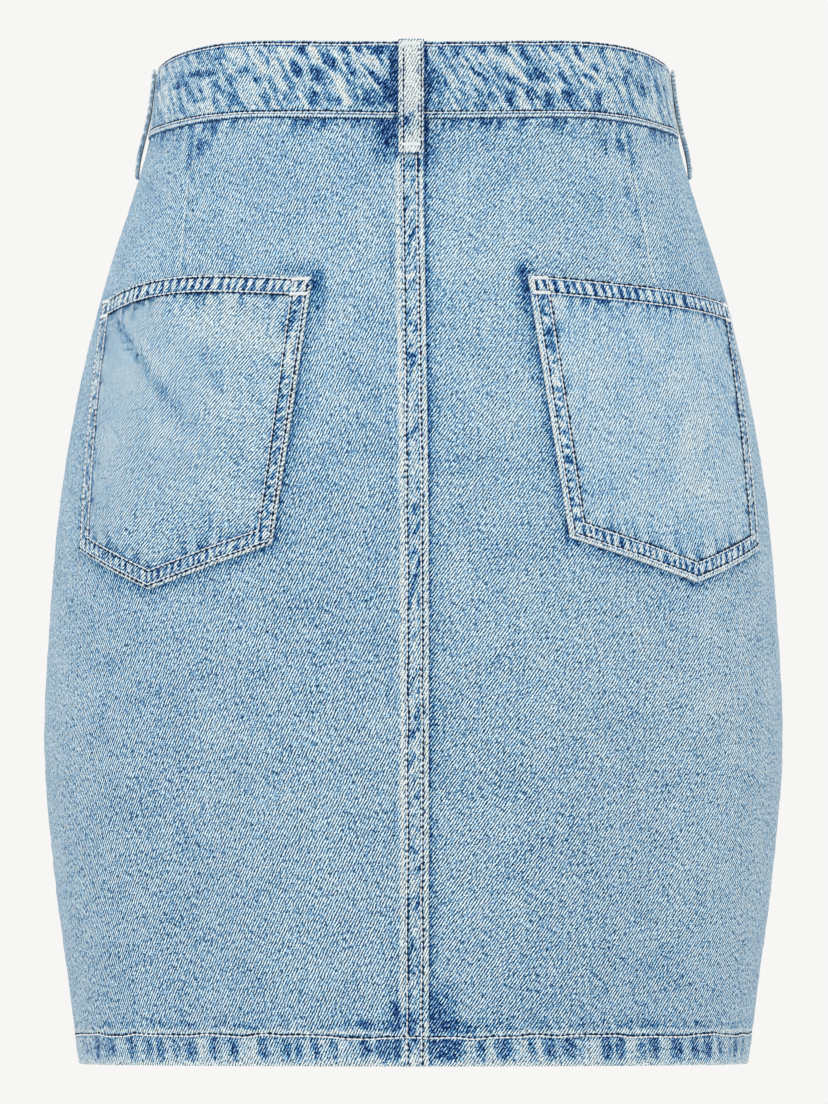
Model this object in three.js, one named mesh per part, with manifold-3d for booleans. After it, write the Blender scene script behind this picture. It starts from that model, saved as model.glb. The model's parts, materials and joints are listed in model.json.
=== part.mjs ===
// A high-waisted denim mini skirt, filled out as it is when worn, in millimetres.
// The origin is the middle of the waist, halfway up the waistband. +Z is up, the back of
// the skirt faces -Y and the wearer's right is at +X.
//
// Every piece is cloth laid on one surface. A place on it is a face ("back" or "front"),
// a distance s along the cloth from the centre line of that face (positive towards +X),
// a height z, and how far the point is moved out of the surface.
import * as THREE from "three";
import { mergeVertices } from "three/addons/utils/BufferGeometryUtils.js";
import Module from "manifold-3d";

// Driving dimensions
const BAND_TOP = 20;
const BAND_SEAM = -20;
const HEM = -499;
const HEM_HEIGHT = 15;
const CLOTH = 1.2; // one layer of denim
const GAP = 0.3; // between two pieces at a seam
const LAID_GAP = 0.55; // between a panel and what is laid on it
const BAND_PROUD = 1; // the waistband stands this far out of the panels
const BAND_INSIDE = 1.6; // and this far inside them
const HEM_LAYERS = 3;
const BUTTON_RADIUS = 8.5;

// The skirt's level sections. half: half the width. back, front: depths from the middle.
// backFlat, frontFlat: degrees of turn of the wide arc across the middle of each face.
const SECTIONS = [
  { z: 30, half: 131.1, back: 94, front: 90.8, backFlat: 24, frontFlat: 34 },
  { z: 20, half: 132.5, back: 95, front: 92, backFlat: 24, frontFlat: 34 },
  { z: -20, half: 138, back: 99, front: 97, backFlat: 24, frontFlat: 34 },
  { z: -50, half: 146.5, back: 105, front: 102, backFlat: 26, frontFlat: 34 },
  { z: -90, half: 159.3, back: 114, front: 106, backFlat: 28, frontFlat: 34 },
  { z: -140, half: 171.8, back: 123, front: 109, backFlat: 30, frontFlat: 34 },
  { z: -200, half: 182.5, back: 130, front: 111, backFlat: 32, frontFlat: 34 },
  { z: -270, half: 188.8, back: 132, front: 112, backFlat: 32, frontFlat: 34 },
  { z: -335, half: 191.3, back: 131, front: 112, backFlat: 32, frontFlat: 34 },
  { z: -400, half: 186, back: 128, front: 110, backFlat: 32, frontFlat: 34 },
  { z: -455, half: 178.7, back: 124, front: 108, backFlat: 32, frontFlat: 34 },
  { z: -499, half: 172.9, back: 121, front: 106, backFlat: 32, frontFlat: 34 },
];

// Soft folds of the worn cloth. along, across: how far each one fades from its middle.
// lean: degrees that its length leans towards +s from upright. rise: its height.
const FOLDS = [
  { face: "back", s: -149, z: -143, along: 32, across: 16, lean: -42, rise: -1.4 },
  { face: "back", s: -112, z: -420, along: 75, across: 20, lean: 4, rise: -2 },
  { face: "back", s: -62, z: -380, along: 90, across: 22, lean: -3, rise: 1.6 },
  { face: "back", s: 128, z: -425, along: 65, across: 22, lean: -5, rise: -2.2 },
  { face: "back", s: 70, z: -370, along: 80, across: 24, lean: 6, rise: 1.6 },
  { face: "back", s: -48, z: -205, along: 60, across: 20, lean: -8, rise: -1.5 },
  { face: "back", s: 46, z: -190, along: 55, across: 18, lean: 8, rise: -1.5 },
  { face: "front", s: -78, z: -330, along: 95, across: 24, lean: 5, rise: -2.4 },
  { face: "front", s: 84, z: -350, along: 85, across: 22, lean: -6, rise: -2.2 },
  { face: "front", s: -120, z: -120, along: 40, across: 14, lean: -34, rise: -1.6 },
  { face: "front", s: 118, z: -112, along: 36, across: 14, lean: 38, rise: -1.6 },
];
const FOLD_FREE_SIDE = 40; // folds die away this near a side seam

// Darts, from the waistband down to under the pockets
const DARTS = {
  left: { top: -123, foot: -126 },
  right: { top: 117, foot: 130 },
};
const DART_FOOT = -104;
const DART_HALF = 3;
const DART_DEPTH = 0.7;

// Lapped seams at the centre back and centre front: the left panel lies over the right one
const LAP = {
  back: { from: -5.8, to: 7.5 },
  front: { from: -6.5, to: 6.5 },
};
const LAP_RAMP = 2.2;
const LAP_CLEAR = 1.2; // the right panel ends this short of the ramp
const LAP_LIFT = CLOTH + GAP;
const BACK_LAP_DRIFT = -2.4; // the centre back seam leans this far to the left at its top
const DRIFT_FOOT = -260;
const DRIFT_HEIGHT = 240;

// Back pockets, one row for each corner, as s and z. mouthBow: how far the left pocket's
// top edge stands up above the straight line between its corners.
const POCKETS = {
  left: {
    innerTop: [-51.3, -102],
    outerTop: [-190, -107],
    outerFoot: [-190.5, -237],
    tip: [-140, -259],
    innerFoot: [-71.7, -237.7],
    mouthBow: 6.4,
  },
  right: {
    innerTop: [58, -100.7],
    outerTop: [197, -107.6],
    outerFoot: [203.5, -236],
    tip: [152, -255],
    innerFoot: [79.5, -234.3],
    mouthBow: 0,
  },
};
const POCKET_TURNING = 9; // the turned edge, stitched twice
const POCKET_HEM = 11;
const POCKET_EDGE_PROUD = 0.6;

// Belt loops
const LOOP_WIDTH = 13;
const LOOP_THICK = 2;
const LOOP_LENGTH = 60;
const SIDE_LOOP_LENGTH = 56.5;
const LOOP_RISE = 0.6; // its folded end shows above the band
const LOOP_BOW = 2; // it stands off the band, so that a belt can pass
const BACK_LOOP_S = -1.2;
const SIDE_LOOP_BOW = 1.8;
const SIDE_LOOP_SKEW = 2.4; // the side loops lie flat at the top and stand off further down
const FRONT_LOOP_S = 72;
const SIDE_DIP = 3; // the band's top edge dips at the sides
const SIDE_RISE = 1.5; // and its lower edge rises a little
const SIDE_REACH = 34;
const BAND_ARCH = 3.1; // both edges rise on either side of the centre back
const ARCH_AT = 96;
const ARCH_REACH = 50;

// Closure at the centre front
const BAND_END = 6.5;
const BAND_UNDERLAP = 29.5;
const BAND_RAMP = 8;
const BAND_THICK = BAND_PROUD + BAND_INSIDE;
const BUTTON_S = -5.5;
const BUTTONHOLE_LENGTH = 20;
const BUTTONHOLE_HEIGHT = 3.9;
const BUTTON_NECK = 1.6;
const BUTTON_THICK = 2.8;
const ZIP_TOP = -22;
const ZIP_FOOT = -150;
const ZIP_HALF = 13;
const CHAIN_HALF = 3;
const TAPE_THICK = 1.4;
const CHAIN_PROUD = 1.2;

const clamp = (x, low, high) => Math.min(Math.max(x, low), high);
const mix = (a, b, t) => a + (b - a) * t;
const smooth = (t) => {
  const c = clamp(t, 0, 1);
  return c * c * (3 - 2 * c);
};
const steps = (count) => Array.from({ length: count }, (_, i) => i);
const spread = (from, to, count) =>
  steps(count + 1).map((i) => mix(from, to, i / count));

// A section's value at any height, on a smooth curve through the table's rows
function sectionValue(z, key) {
  const rows = SECTIONS;
  const last = rows.length - 1;
  const slope = (i) => (rows[i + 1][key] - rows[i][key]) / (rows[i + 1].z - rows[i].z);
  const span = (i) => Math.abs(rows[i + 1].z - rows[i].z);
  const tangent = (i) => {
    if (i === 0) return slope(0);
    if (i === last) return slope(last - 1);
    const before = span(i - 1);
    const after = span(i);
    return (slope(i - 1) * after + slope(i) * before) / (before + after);
  };
  const height = clamp(z, rows[last].z, rows[0].z);
  let i = rows.findIndex((row) => row.z <= height) - 1;
  i = clamp(i, 0, last - 1);
  const h = rows[i + 1].z - rows[i].z;
  const t = (height - rows[i].z) / h;
  return (
    (2 * t ** 3 - 3 * t ** 2 + 1) * rows[i][key] +
    (t ** 3 - 2 * t ** 2 + t) * h * tangent(i) +
    (-2 * t ** 3 + 3 * t ** 2) * rows[i + 1][key] +
    (t ** 3 - t ** 2) * h * tangent(i + 1)
  );
}

// A quarter of a level section is two arcs that meet smoothly: a wide one across the
// middle of the face and a tight one round the side
function quarter(face, z) {
  const half = sectionValue(z, "half");
  const depth = sectionValue(z, face);
  const flat = THREE.MathUtils.degToRad(sectionValue(z, face + "Flat"));
  const apart = (half - depth) / (Math.sin(flat) + Math.cos(flat) - 1);
  const tight = depth - apart * (1 - Math.cos(flat));
  return { half, depth, flat, tight, wide: tight + apart };
}

// The length of cloth from the centre line to the side seam
function sideAt(face, z) {
  const { flat, tight, wide } = quarter(face, z);
  return wide * flat + tight * (Math.PI / 2 - flat);
}

function surfacePoint(face, s, z) {
  const { half, depth, flat, tight, wide } = quarter(face, z);
  const along = Math.abs(s);
  const toFront = face === "front" ? 1 : -1;
  const toRight = Math.sign(s);
  if (along <= wide * flat) {
    const turn = along / wide;
    const y = depth - wide + wide * Math.cos(turn);
    return new THREE.Vector3(toRight * wide * Math.sin(turn), toFront * y, z);
  }
  const turn = flat + (along - wide * flat) / tight;
  const x = half - tight + tight * Math.sin(turn);
  return new THREE.Vector3(toRight * x, toFront * tight * Math.cos(turn), z);
}

function surfaceNormal(face, s, z) {
  const across = surfacePoint(face, s + 0.5, z).sub(surfacePoint(face, s - 0.5, z));
  const up = surfacePoint(face, s, z + 1).sub(surfacePoint(face, s, z - 1));
  const normal = across.cross(up).normalize();
  return face === "front" ? normal.negate() : normal;
}

function foldAt(face, s, z) {
  const calm = smooth((sideAt(face, z) - Math.abs(s)) / FOLD_FREE_SIDE);
  const fold = (f) => {
    const lean = THREE.MathUtils.degToRad(f.lean);
    const u = (s - f.s) * Math.sin(lean) + (z - f.z) * Math.cos(lean);
    const v = (s - f.s) * Math.cos(lean) - (z - f.z) * Math.sin(lean);
    return f.rise * Math.exp(-((u / f.along) ** 2) - (v / f.across) ** 2);
  };
  const sum = FOLDS.filter((f) => f.face === face).reduce((a, f) => a + fold(f), 0);
  return sum * calm;
}

// A point of the cloth, moved out of the surface
function clothPoint(face, s, z, out) {
  const moved = foldAt(face, s, z) + out;
  return surfacePoint(face, s, z).addScaledVector(surfaceNormal(face, s, z), moved);
}

// A closed wall from a grid of places. Each place gives its outer and inner point.
function wall(grid) {
  const rows = grid.length;
  const columns = grid[0].length;
  const layer = rows * columns;
  const positions = [];
  for (const side of ["outer", "inner"])
    for (const row of grid) for (const place of row) positions.push(...place[side]);
  const index = [];
  const quad = (a, b, c, d) => index.push(a, b, c, a, c, d);
  const at = (j, i) => j * columns + i;
  for (let j = 0; j + 1 < rows; j++)
    for (let i = 0; i + 1 < columns; i++) {
      const [a, b, c, d] = [at(j, i), at(j, i + 1), at(j + 1, i + 1), at(j + 1, i)];
      quad(a, b, c, d);
      quad(a + layer, d + layer, c + layer, b + layer);
    }
  const border = [
    ...steps(columns - 1).map((i) => at(0, i)),
    ...steps(rows - 1).map((j) => at(j, columns - 1)),
    ...steps(columns - 1).map((i) => at(rows - 1, columns - 1 - i)),
    ...steps(rows - 1).map((j) => at(rows - 1 - j, 0)),
  ];
  border.forEach((a, n) => {
    const b = border[(n + 1) % border.length];
    quad(b, a, a + layer, b + layer);
  });
  const geometry = new THREE.BufferGeometry();
  geometry.setAttribute("position", new THREE.Float32BufferAttribute(positions, 3));
  geometry.setIndex(index);
  if (enclosedVolume(geometry) < 0) {
    for (let n = 0; n < index.length; n += 3)
      [index[n + 1], index[n + 2]] = [index[n + 2], index[n + 1]];
    geometry.setIndex(index);
  }
  geometry.computeVertexNormals();
  return geometry;
}

function enclosedVolume(geometry) {
  const corner = (n) =>
    new THREE.Vector3().fromBufferAttribute(geometry.attributes.position, n);
  const { array } = geometry.index;
  let sum = 0;
  for (let n = 0; n < array.length; n += 3)
    sum += corner(array[n]).dot(corner(array[n + 1]).cross(corner(array[n + 2])));
  return sum / 6;
}

const place = (face, s, z, outer, inner) => ({
  outer: clothPoint(face, s, z, outer),
  inner: clothPoint(face, s, z, inner),
});

// The waistband's edges, near level but for the sides
const nearSide = (face, s) =>
  Math.exp(-(((sideAt(face, 0) - Math.abs(s)) / SIDE_REACH) ** 2));
const bandArch = (face, s) =>
  face === "back" ? BAND_ARCH * Math.exp(-(((Math.abs(s) - ARCH_AT) / ARCH_REACH) ** 2)) : 0;
const bandTop = (face, s) => BAND_TOP + bandArch(face, s) - SIDE_DIP * nearSide(face, s);
const bandSeam = (face, s) => BAND_SEAM + bandArch(face, s) + SIDE_RISE * nearSide(face, s);

// Panels
const PANEL_ROWS = 25;
const SEAM_DROP = 0.55; // the panels hang this far below the band's edge
const HEM_LINE = HEM + HEM_HEIGHT;
const HEM_STEP = 1.5;

// How far a dart draws the cloth in at a place
function dartAt(dart, s, z) {
  if (!dart) return 0;
  const off = Math.abs(s - dartLine(dart, z)) / DART_HALF;
  const fade = smooth((z - DART_FOOT) / 20);
  return off < 1 ? DART_DEPTH * (1 - off) * fade : 0;
}

const dartLine = (dart, z) =>
  mix(dart.top, dart.foot, clamp((BAND_SEAM - z) / (BAND_SEAM - DART_FOOT), 0, 1));

// How far a lapped seam has leant from the centre line at a height
function seamDrift(face, z) {
  if (face === "front") return 0;
  return BACK_LAP_DRIFT * smooth((z - DRIFT_FOOT) / DRIFT_HEIGHT);
}

// The lapped edge stands over the panel beside it
function liftAt(lap, s) {
  return lap ? LAP_LIFT * smooth((s - (lap.from - LAP_RAMP)) / LAP_RAMP) : 0;
}

function panel({ face, columns, dart, lap }) {
  const tops = [0, ...spread(0.03, 1, PANEL_ROWS)];
  const heights = (s) => [
    ...tops.map((t) => mix(bandSeam(face, s) - SEAM_DROP, HEM_LINE + HEM_STEP, t)),
    HEM_LINE,
    mix(HEM_LINE, HEM, 0.5),
    HEM,
  ];
  const count = tops.length + 3;
  const grid = Array.from({ length: count }, (_, j) =>
    columns.map((column) => {
      const start = column(BAND_SEAM);
      const z = heights(start)[j];
      const s = column(z);
      const lift = liftAt(lap, s - seamDrift(face, z));
      const drawn = dartAt(dart, s, z);
      const turned = z <= HEM_LINE ? (HEM_LAYERS - 1) * CLOTH * 0.75 : 0;
      const thick = CLOTH + turned * (1 - lift / LAP_LIFT);
      return place(face, s, z, lift - drawn, lift - drawn - thick);
    }),
  );
  return wall(grid);
}

const at = (s) => () => s;
const toSide = (face, side, share) => (z) =>
  side * mix(0, sideAt(face, z) - GAP / 2, share);

// Columns between two column functions, the ends left out
const between = (a, b, count) =>
  spread(0, 1, count)
    .slice(1, -1)
    .map((t) => (z) => mix(a(z), b(z), t));

// One panel's columns, from its edge at the centre line out to its side seam
function panelColumns(face, side, edge, dart) {
  const seam = toSide(face, side, 1);
  const last = edge[edge.length - 1];
  if (!dart) return [...edge, ...between(last, seam, 13), seam];
  const line = (shift) => (z) => dartLine(dart, z) + shift * side;
  const [inner, middle, outer] = [line(-DART_HALF), line(0), line(DART_HALF)];
  return [
    ...edge,
    ...between(last, inner, 6),
    inner,
    middle,
    outer,
    ...between(outer, seam, 10),
    seam,
  ];
}

const beside = (face, s) => (z) => s + seamDrift(face, z);

function lappedEdge(face) {
  const { from, to } = LAP[face];
  return [
    beside(face, to),
    beside(face, mix(from, to, 0.5)),
    beside(face, from),
    beside(face, from - LAP_RAMP / 2),
    beside(face, from - LAP_RAMP),
  ];
}

function underEdge(face) {
  const { from, to } = LAP[face];
  return [beside(face, from + LAP_CLEAR), beside(face, to + 3)];
}

function lappedPanel(face, dart) {
  const columns = panelColumns(face, -1, lappedEdge(face), dart);
  return panel({ face, dart, lap: LAP[face], columns });
}

function underPanel(face, dart) {
  const columns = panelColumns(face, 1, underEdge(face), dart);
  return panel({ face, dart, columns });
}

// The waistband: a folded strip, with its edges eased so that they look turned
function band(face, columns, lift = () => 0) {
  const rows = [
    { t: 0, ease: 0.5 },
    { t: 0.04, ease: 0 },
    { t: 0.35, ease: 0 },
    { t: 0.65, ease: 0 },
    { t: 0.96, ease: 0 },
    { t: 1, ease: 0.5 },
  ];
  const grid = rows.map(({ t, ease }) =>
    columns.map((column) => {
      const start = column(0);
      const z = mix(bandSeam(face, start), bandTop(face, start), t);
      const s = column(z);
      const out = lift(s) + BAND_PROUD - ease;
      return place(face, s, z, out, lift(s) - BAND_INSIDE + ease);
    }),
  );
  return wall(grid);
}

function bandBack() {
  const half = spread(-1, 1, 40).map((t) => toSide("back", Math.sign(t), Math.abs(t)));
  return band("back", half);
}

const BAND_OVER = BAND_THICK + LAID_GAP;
const bandLift = (s) =>
  BAND_OVER * smooth((s + BAND_UNDERLAP + 1.5 + BAND_RAMP) / BAND_RAMP);

function bandFrontOver() {
  const flat = at(-BAND_UNDERLAP - 1.5);
  const foot = at(-BAND_UNDERLAP - 1.5 - BAND_RAMP);
  const columns = [
    at(BAND_END),
    ...between(at(BAND_END), flat, 4),
    flat,
    ...between(flat, foot, 3),
    foot,
    ...between(foot, toSide("front", -1, 1), 12),
    toSide("front", -1, 1),
  ];
  return band("front", columns, bandLift);
}

function bandFrontUnder() {
  const end = at(-BAND_UNDERLAP);
  const seam = toSide("front", 1, 1);
  return band("front", [end, ...between(end, seam, 20), seam]);
}

// A patch pocket: a pentagon laid on the back panel, thicker where its edges are turned
function pocket(corners) {
  const { innerTop, outerTop, outerFoot, tip, innerFoot, mouthBow } = corners;
  const gap = (p, q) => Math.hypot(p[0] - q[0], p[1] - q[1]);
  const width = gap(innerTop, outerTop);
  const height = gap(innerTop, innerFoot);
  const turning = POCKET_TURNING / width;
  const hem = POCKET_HEM / height;
  const foot = POCKET_TURNING / height;
  const toTip = gap(innerFoot, tip) / (gap(innerFoot, tip) + gap(tip, outerFoot));
  const step = 0.012;
  const across = [
    0,
    turning,
    turning + step,
    ...spread(turning + step, toTip, 6).slice(1),
    ...spread(toTip, 1 - turning - step, 8).slice(1),
    1 - turning,
    1,
  ];
  const down = [0, hem, hem + step, ...spread(hem + step, 1 - foot - step, 9).slice(1)];
  down.push(1 - foot, 1);
  const between2 = (p, q, t) => [mix(p[0], q[0], t), mix(p[1], q[1], t)];
  const footAt = (u) =>
    u < toTip
      ? between2(innerFoot, tip, u / toTip)
      : between2(tip, outerFoot, (u - toTip) / (1 - toTip));
  const isTurned = (u, v) =>
    u <= turning || u >= 1 - turning || v <= hem || v >= 1 - foot;
  const grid = down.map((v) =>
    across.map((u) => {
      const bow = mouthBow * Math.sin(Math.PI * u ** 1.2);
      const [sTop, zTop] = between2(innerTop, outerTop, u);
      const [s, z] = between2([sTop, zTop + bow], footAt(u), v);
      const proud = isTurned(u, v) ? POCKET_EDGE_PROUD : 0;
      return place("back", s, z, LAID_GAP + CLOTH + proud, LAID_GAP);
    }),
  );
  return wall(grid);
}

// A belt loop: a folded strip that bows away from the band between its two ends
function beltLoop({ face, middle, under = 0, length = LOOP_LENGTH, ...shape }) {
  const { bow = LOOP_BOW, skew = 1 } = shape;
  const top = bandTop(face, middle(0)) + LOOP_RISE;
  const first = BAND_PROUD + LAID_GAP;
  const last = under + LAID_GAP;
  const half = LOOP_WIDTH / 2;
  const grid = spread(0, 1, 12).map((t) =>
    [-half, -half / 3, half / 3, half].map((shift) => {
      const off = mix(first, last, t) + bow * Math.sin(Math.PI * t ** skew);
      const z = top - length * t;
      return place(face, middle(z) + shift, z, off + LOOP_THICK, off);
    }),
  );
  return wall(grid);
}

// The closed zip behind the fly: a tape with its chain down the middle
function zip() {
  const shoulder = CHAIN_HALF + 0.8;
  const across = [-ZIP_HALF, -shoulder, -CHAIN_HALF, CHAIN_HALF, shoulder, ZIP_HALF];
  const front = CLOTH + LAID_GAP;
  const grid = spread(ZIP_TOP, ZIP_FOOT, 8).map((z) =>
    across.map((s) => {
      const proud = Math.abs(s) <= CHAIN_HALF ? CHAIN_PROUD : 0;
      return place("front", s, z, -front, -front - TAPE_THICK - proud);
    }),
  );
  return wall(grid);
}

// The shank button: a domed cap on a neck that passes through the buttonhole
function button() {
  const neckFoot = BAND_PROUD + GAP;
  const capFoot = BAND_PROUD + BAND_OVER + GAP;
  const capTop = capFoot + BUTTON_THICK;
  const profile = [
    [0, neckFoot],
    [BUTTON_NECK, neckFoot],
    [BUTTON_NECK, capFoot],
    [BUTTON_RADIUS - 0.6, capFoot],
    [BUTTON_RADIUS, capFoot + 0.7],
    [BUTTON_RADIUS - 0.2, capFoot + 1.7],
    [BUTTON_RADIUS - 1.6, capTop],
    [BUTTON_RADIUS - 2.8, capTop - 0.5],
    [BUTTON_RADIUS / 2, capTop - 0.25],
    [0, capTop - 0.15],
  ].map(([r, y]) => new THREE.Vector2(r, y));
  return new THREE.LatheGeometry(profile, 32);
}

// Stands a piece made along +Y on the cloth, looking straight out of it
function standOn(mesh, face, s, z) {
  const normal = surfaceNormal(face, s, z);
  mesh.position.copy(surfacePoint(face, s, z));
  mesh.quaternion.setFromUnitVectors(new THREE.Vector3(0, 1, 0), normal);
  return mesh;
}

// The buttonhole is cut right through the lapped end of the waistband
const wasm = await Module();
wasm.setup();

function toSolid(geometry) {
  const bare = geometry.index ? geometry.toNonIndexed() : geometry.clone();
  bare.deleteAttribute("normal");
  bare.deleteAttribute("uv");
  const merged = mergeVertices(bare, 1e-3);
  return new wasm.Manifold(
    new wasm.Mesh({
      numProp: 3,
      vertProperties: merged.attributes.position.array,
      triVerts: new Uint32Array(merged.index.array),
    }),
  );
}

function toGeometry(solid) {
  const { vertProperties, triVerts } = solid.getMesh();
  const geometry = new THREE.BufferGeometry();
  geometry.setAttribute("position", new THREE.BufferAttribute(vertProperties, 3));
  geometry.setIndex(new THREE.BufferAttribute(triVerts, 1));
  geometry.computeVertexNormals();
  return geometry;
}

function cutButtonhole(geometry) {
  const middle = BUTTON_S + 2.5 - BUTTONHOLE_LENGTH / 2;
  const deep = 4 * BAND_THICK;
  const box = new THREE.BoxGeometry(BUTTONHOLE_LENGTH, deep, BUTTONHOLE_HEIGHT);
  const cutter = standOn(new THREE.Mesh(box), "front", middle, 0);
  cutter.updateMatrixWorld(true);
  box.applyMatrix4(cutter.matrixWorld);
  return toGeometry(toSolid(geometry).subtract(toSolid(box)));
}

// Finishes
const denim = (color) =>
  new THREE.MeshStandardMaterial({ color, roughness: 0.92, metalness: 0, side: 2 });
const BACK_DENIM = denim(0x93b4d0);
const POCKET_DENIM = denim(0xa3c0d8);
const BAND_DENIM = denim(0xa9c1d6);
const LOOP_DENIM = denim(0xd3dde6);
const ZIP_TAPE = denim(0x6c87a6);
const ANTIQUE_METAL = new THREE.MeshStandardMaterial({
  color: 0x8d8a84,
  roughness: 0.35,
  metalness: 1,
});

const skirt = new THREE.Group();
function sew(name, geometry, material) {
  const mesh = new THREE.Mesh(geometry, material);
  mesh.name = name;
  skirt.add(mesh);
  return mesh;
}

sew("back_left", lappedPanel("back", DARTS.left), BACK_DENIM);
sew("back_right", underPanel("back", DARTS.right), BACK_DENIM);
sew("front_left", lappedPanel("front"), BACK_DENIM);
sew("front_right", underPanel("front"), BACK_DENIM);
sew("waistband_back", bandBack(), BAND_DENIM);
sew("waistband_front_left", cutButtonhole(bandFrontOver()), BAND_DENIM);
sew("waistband_front_right", bandFrontUnder(), BAND_DENIM);
for (const [side, corners] of Object.entries(POCKETS))
  sew("pocket_" + side, pocket(corners), POCKET_DENIM);
const backLoop = { face: "back", middle: at(BACK_LOOP_S), under: LAP_LIFT };
sew("loop_back", beltLoop(backLoop), LOOP_DENIM);
for (const [side, sign] of [
  ["left", -1],
  ["right", 1],
]) {
  const sideLoop = {
    face: "back",
    middle: toSide("back", sign, 1),
    length: SIDE_LOOP_LENGTH,
    bow: SIDE_LOOP_BOW,
    skew: SIDE_LOOP_SKEW,
  };
  sew("loop_side_" + side, beltLoop(sideLoop), LOOP_DENIM);
  const frontLoop = { face: "front", middle: at(sign * FRONT_LOOP_S) };
  sew("loop_front_" + side, beltLoop(frontLoop), LOOP_DENIM);
}
sew("zip", zip(), ZIP_TAPE);
standOn(sew("waist_button", button(), ANTIQUE_METAL), "front", BUTTON_S, 0);

export default skirt;
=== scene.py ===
# %% [markdown]
# A denim skirt, filled out as it is when worn
#
# The skirt is cotton twill that was sewn first and stonewashed afterwards. The wash rubs the raised
# places pale and leaves the indigo in the hollows, so every seam is drawn by pale ridges and dark
# dimples. The shape is already fixed by the CAD frame. This lesson dresses it with thin cloth shells,
# real stitches and a denim that knows where it was rubbed.

# %% Load the frame
import math

import json

import bpy
import numpy as np
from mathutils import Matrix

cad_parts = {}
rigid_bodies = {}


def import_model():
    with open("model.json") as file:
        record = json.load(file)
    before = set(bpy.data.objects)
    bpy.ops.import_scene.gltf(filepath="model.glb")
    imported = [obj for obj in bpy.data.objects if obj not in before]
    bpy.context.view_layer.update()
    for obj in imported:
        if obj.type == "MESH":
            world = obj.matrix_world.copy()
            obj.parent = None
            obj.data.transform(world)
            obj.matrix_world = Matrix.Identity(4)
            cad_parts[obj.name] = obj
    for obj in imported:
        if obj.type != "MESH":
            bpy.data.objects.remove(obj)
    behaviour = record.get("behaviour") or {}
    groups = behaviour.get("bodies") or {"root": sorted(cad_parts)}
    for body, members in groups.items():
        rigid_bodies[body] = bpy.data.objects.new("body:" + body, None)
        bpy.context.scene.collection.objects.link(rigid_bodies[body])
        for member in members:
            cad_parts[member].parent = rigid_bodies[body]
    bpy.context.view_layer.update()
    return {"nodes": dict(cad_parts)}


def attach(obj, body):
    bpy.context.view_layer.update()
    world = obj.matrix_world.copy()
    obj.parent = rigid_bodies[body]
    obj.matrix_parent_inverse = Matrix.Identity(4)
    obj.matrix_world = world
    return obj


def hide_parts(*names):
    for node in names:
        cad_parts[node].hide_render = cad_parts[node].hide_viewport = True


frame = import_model()
print("CAD nodes:", ", ".join(sorted(frame["nodes"])))

# %% [markdown]
# The camera
#
# The photograph looks at the back from a good distance, just above the hem, tipped up a little. That
# is why the hem runs nearly straight and the waist rises in the middle. Lengths are worked out from
# the size of one photograph pixel at the skirt.

# %% Camera
MM = 0.001
PHOTO_SIZE = (828, 1104)
PIXEL_MM = 0.52
CAMERA_AWAY = 3400.0
CAMERA_HEIGHT = -459.0
LEVEL_ROW = 985.3  # the photograph's row at the camera's own height
SENSOR_MM = 36.0
SKIRT_MIDDLE_SHIFT = 0.5  # the skirt stands half a pixel left of the picture's middle

middle_height = CAMERA_HEIGHT + (LEVEL_ROW - PHOTO_SIZE[1] / 2) * PIXEL_MM
tilt = math.atan((middle_height - CAMERA_HEIGHT) / CAMERA_AWAY)
focal_pixels = CAMERA_AWAY / PIXEL_MM / math.cos(tilt)

camera_data = bpy.data.cameras.new("camera")
camera_data.sensor_fit = "VERTICAL"
camera_data.sensor_height = SENSOR_MM
camera_data.lens = SENSOR_MM * focal_pixels / PHOTO_SIZE[1]
camera = bpy.data.objects.new("camera", camera_data)
camera.location = (SKIRT_MIDDLE_SHIFT * PIXEL_MM * MM, -CAMERA_AWAY * MM, CAMERA_HEIGHT * MM)
camera.rotation_euler = (math.pi / 2 + tilt, 0, 0)
bpy.context.collection.objects.link(camera)
bpy.context.scene.camera = camera
print("lens", round(camera_data.lens, 1), "mm, tipped up", round(math.degrees(tilt), 2), "degrees")

# %% [markdown]
# The studio
#
# A pale sweep all round gives flat light. Two large soft lights, one behind the skirt and one in
# front of it, model the folds. The floor lies well below the hem, out of the main picture.


# %% Colours and nodes
def linear(code):
    """An sRGB hex colour as linear red, green, blue and alpha: the standard curve, channel by channel."""
    channels = np.array([int(code[i : i + 2], 16) for i in (1, 3, 5)]) / 255
    straight = np.where(channels <= 0.04045, channels / 12.92, ((channels + 0.055) / 1.055) ** 2.4)
    return (*straight.tolist(), 1.0)


def add_node(tree, kind, inputs=None, **settings):
    """A shader node with its settings. An input is either a value or another node's output."""
    node = tree.nodes.new("ShaderNode" + kind)
    for key, value in settings.items():
        setattr(node, key, value)
    for key, value in (inputs or {}).items():
        if isinstance(value, bpy.types.NodeSocket):
            tree.links.new(value, node.inputs[key])
        else:
            node.inputs[key].default_value = value
    return node


def new_material(name, **values):
    """A material, its node tree and its principled shader. Each value is set on the shader's input
    of that name, with its underscores as spaces."""
    material = bpy.data.materials.new(name)
    material.use_nodes = True
    shader = material.node_tree.nodes["Principled BSDF"]
    for key, value in values.items():
        shader.inputs[key.replace("_", " ")].default_value = value
    return material, material.node_tree, shader


def fill_ramp(ramp, stops):
    """Gives a colour ramp its stops: each is a position from 0 to 1 and a hex colour."""
    for position, _ in stops[1:-1]:
        ramp.elements.new(position)
    for element, (position, code) in zip(ramp.elements, stops):
        element.position = position
        element.color = linear(code)


# %% Studio
BACKDROP = "#f7f6f4"
FLOOR_DROP = 1.05
FLOOR_RADIUS = 5.0
FLOOR_SIDES = 96
LIGHT_SIZE = 1.2
LIGHT_WATTS = 9
LIT_PLACE = np.array([0, 0, -0.24])  # the middle of the skirt

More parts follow.
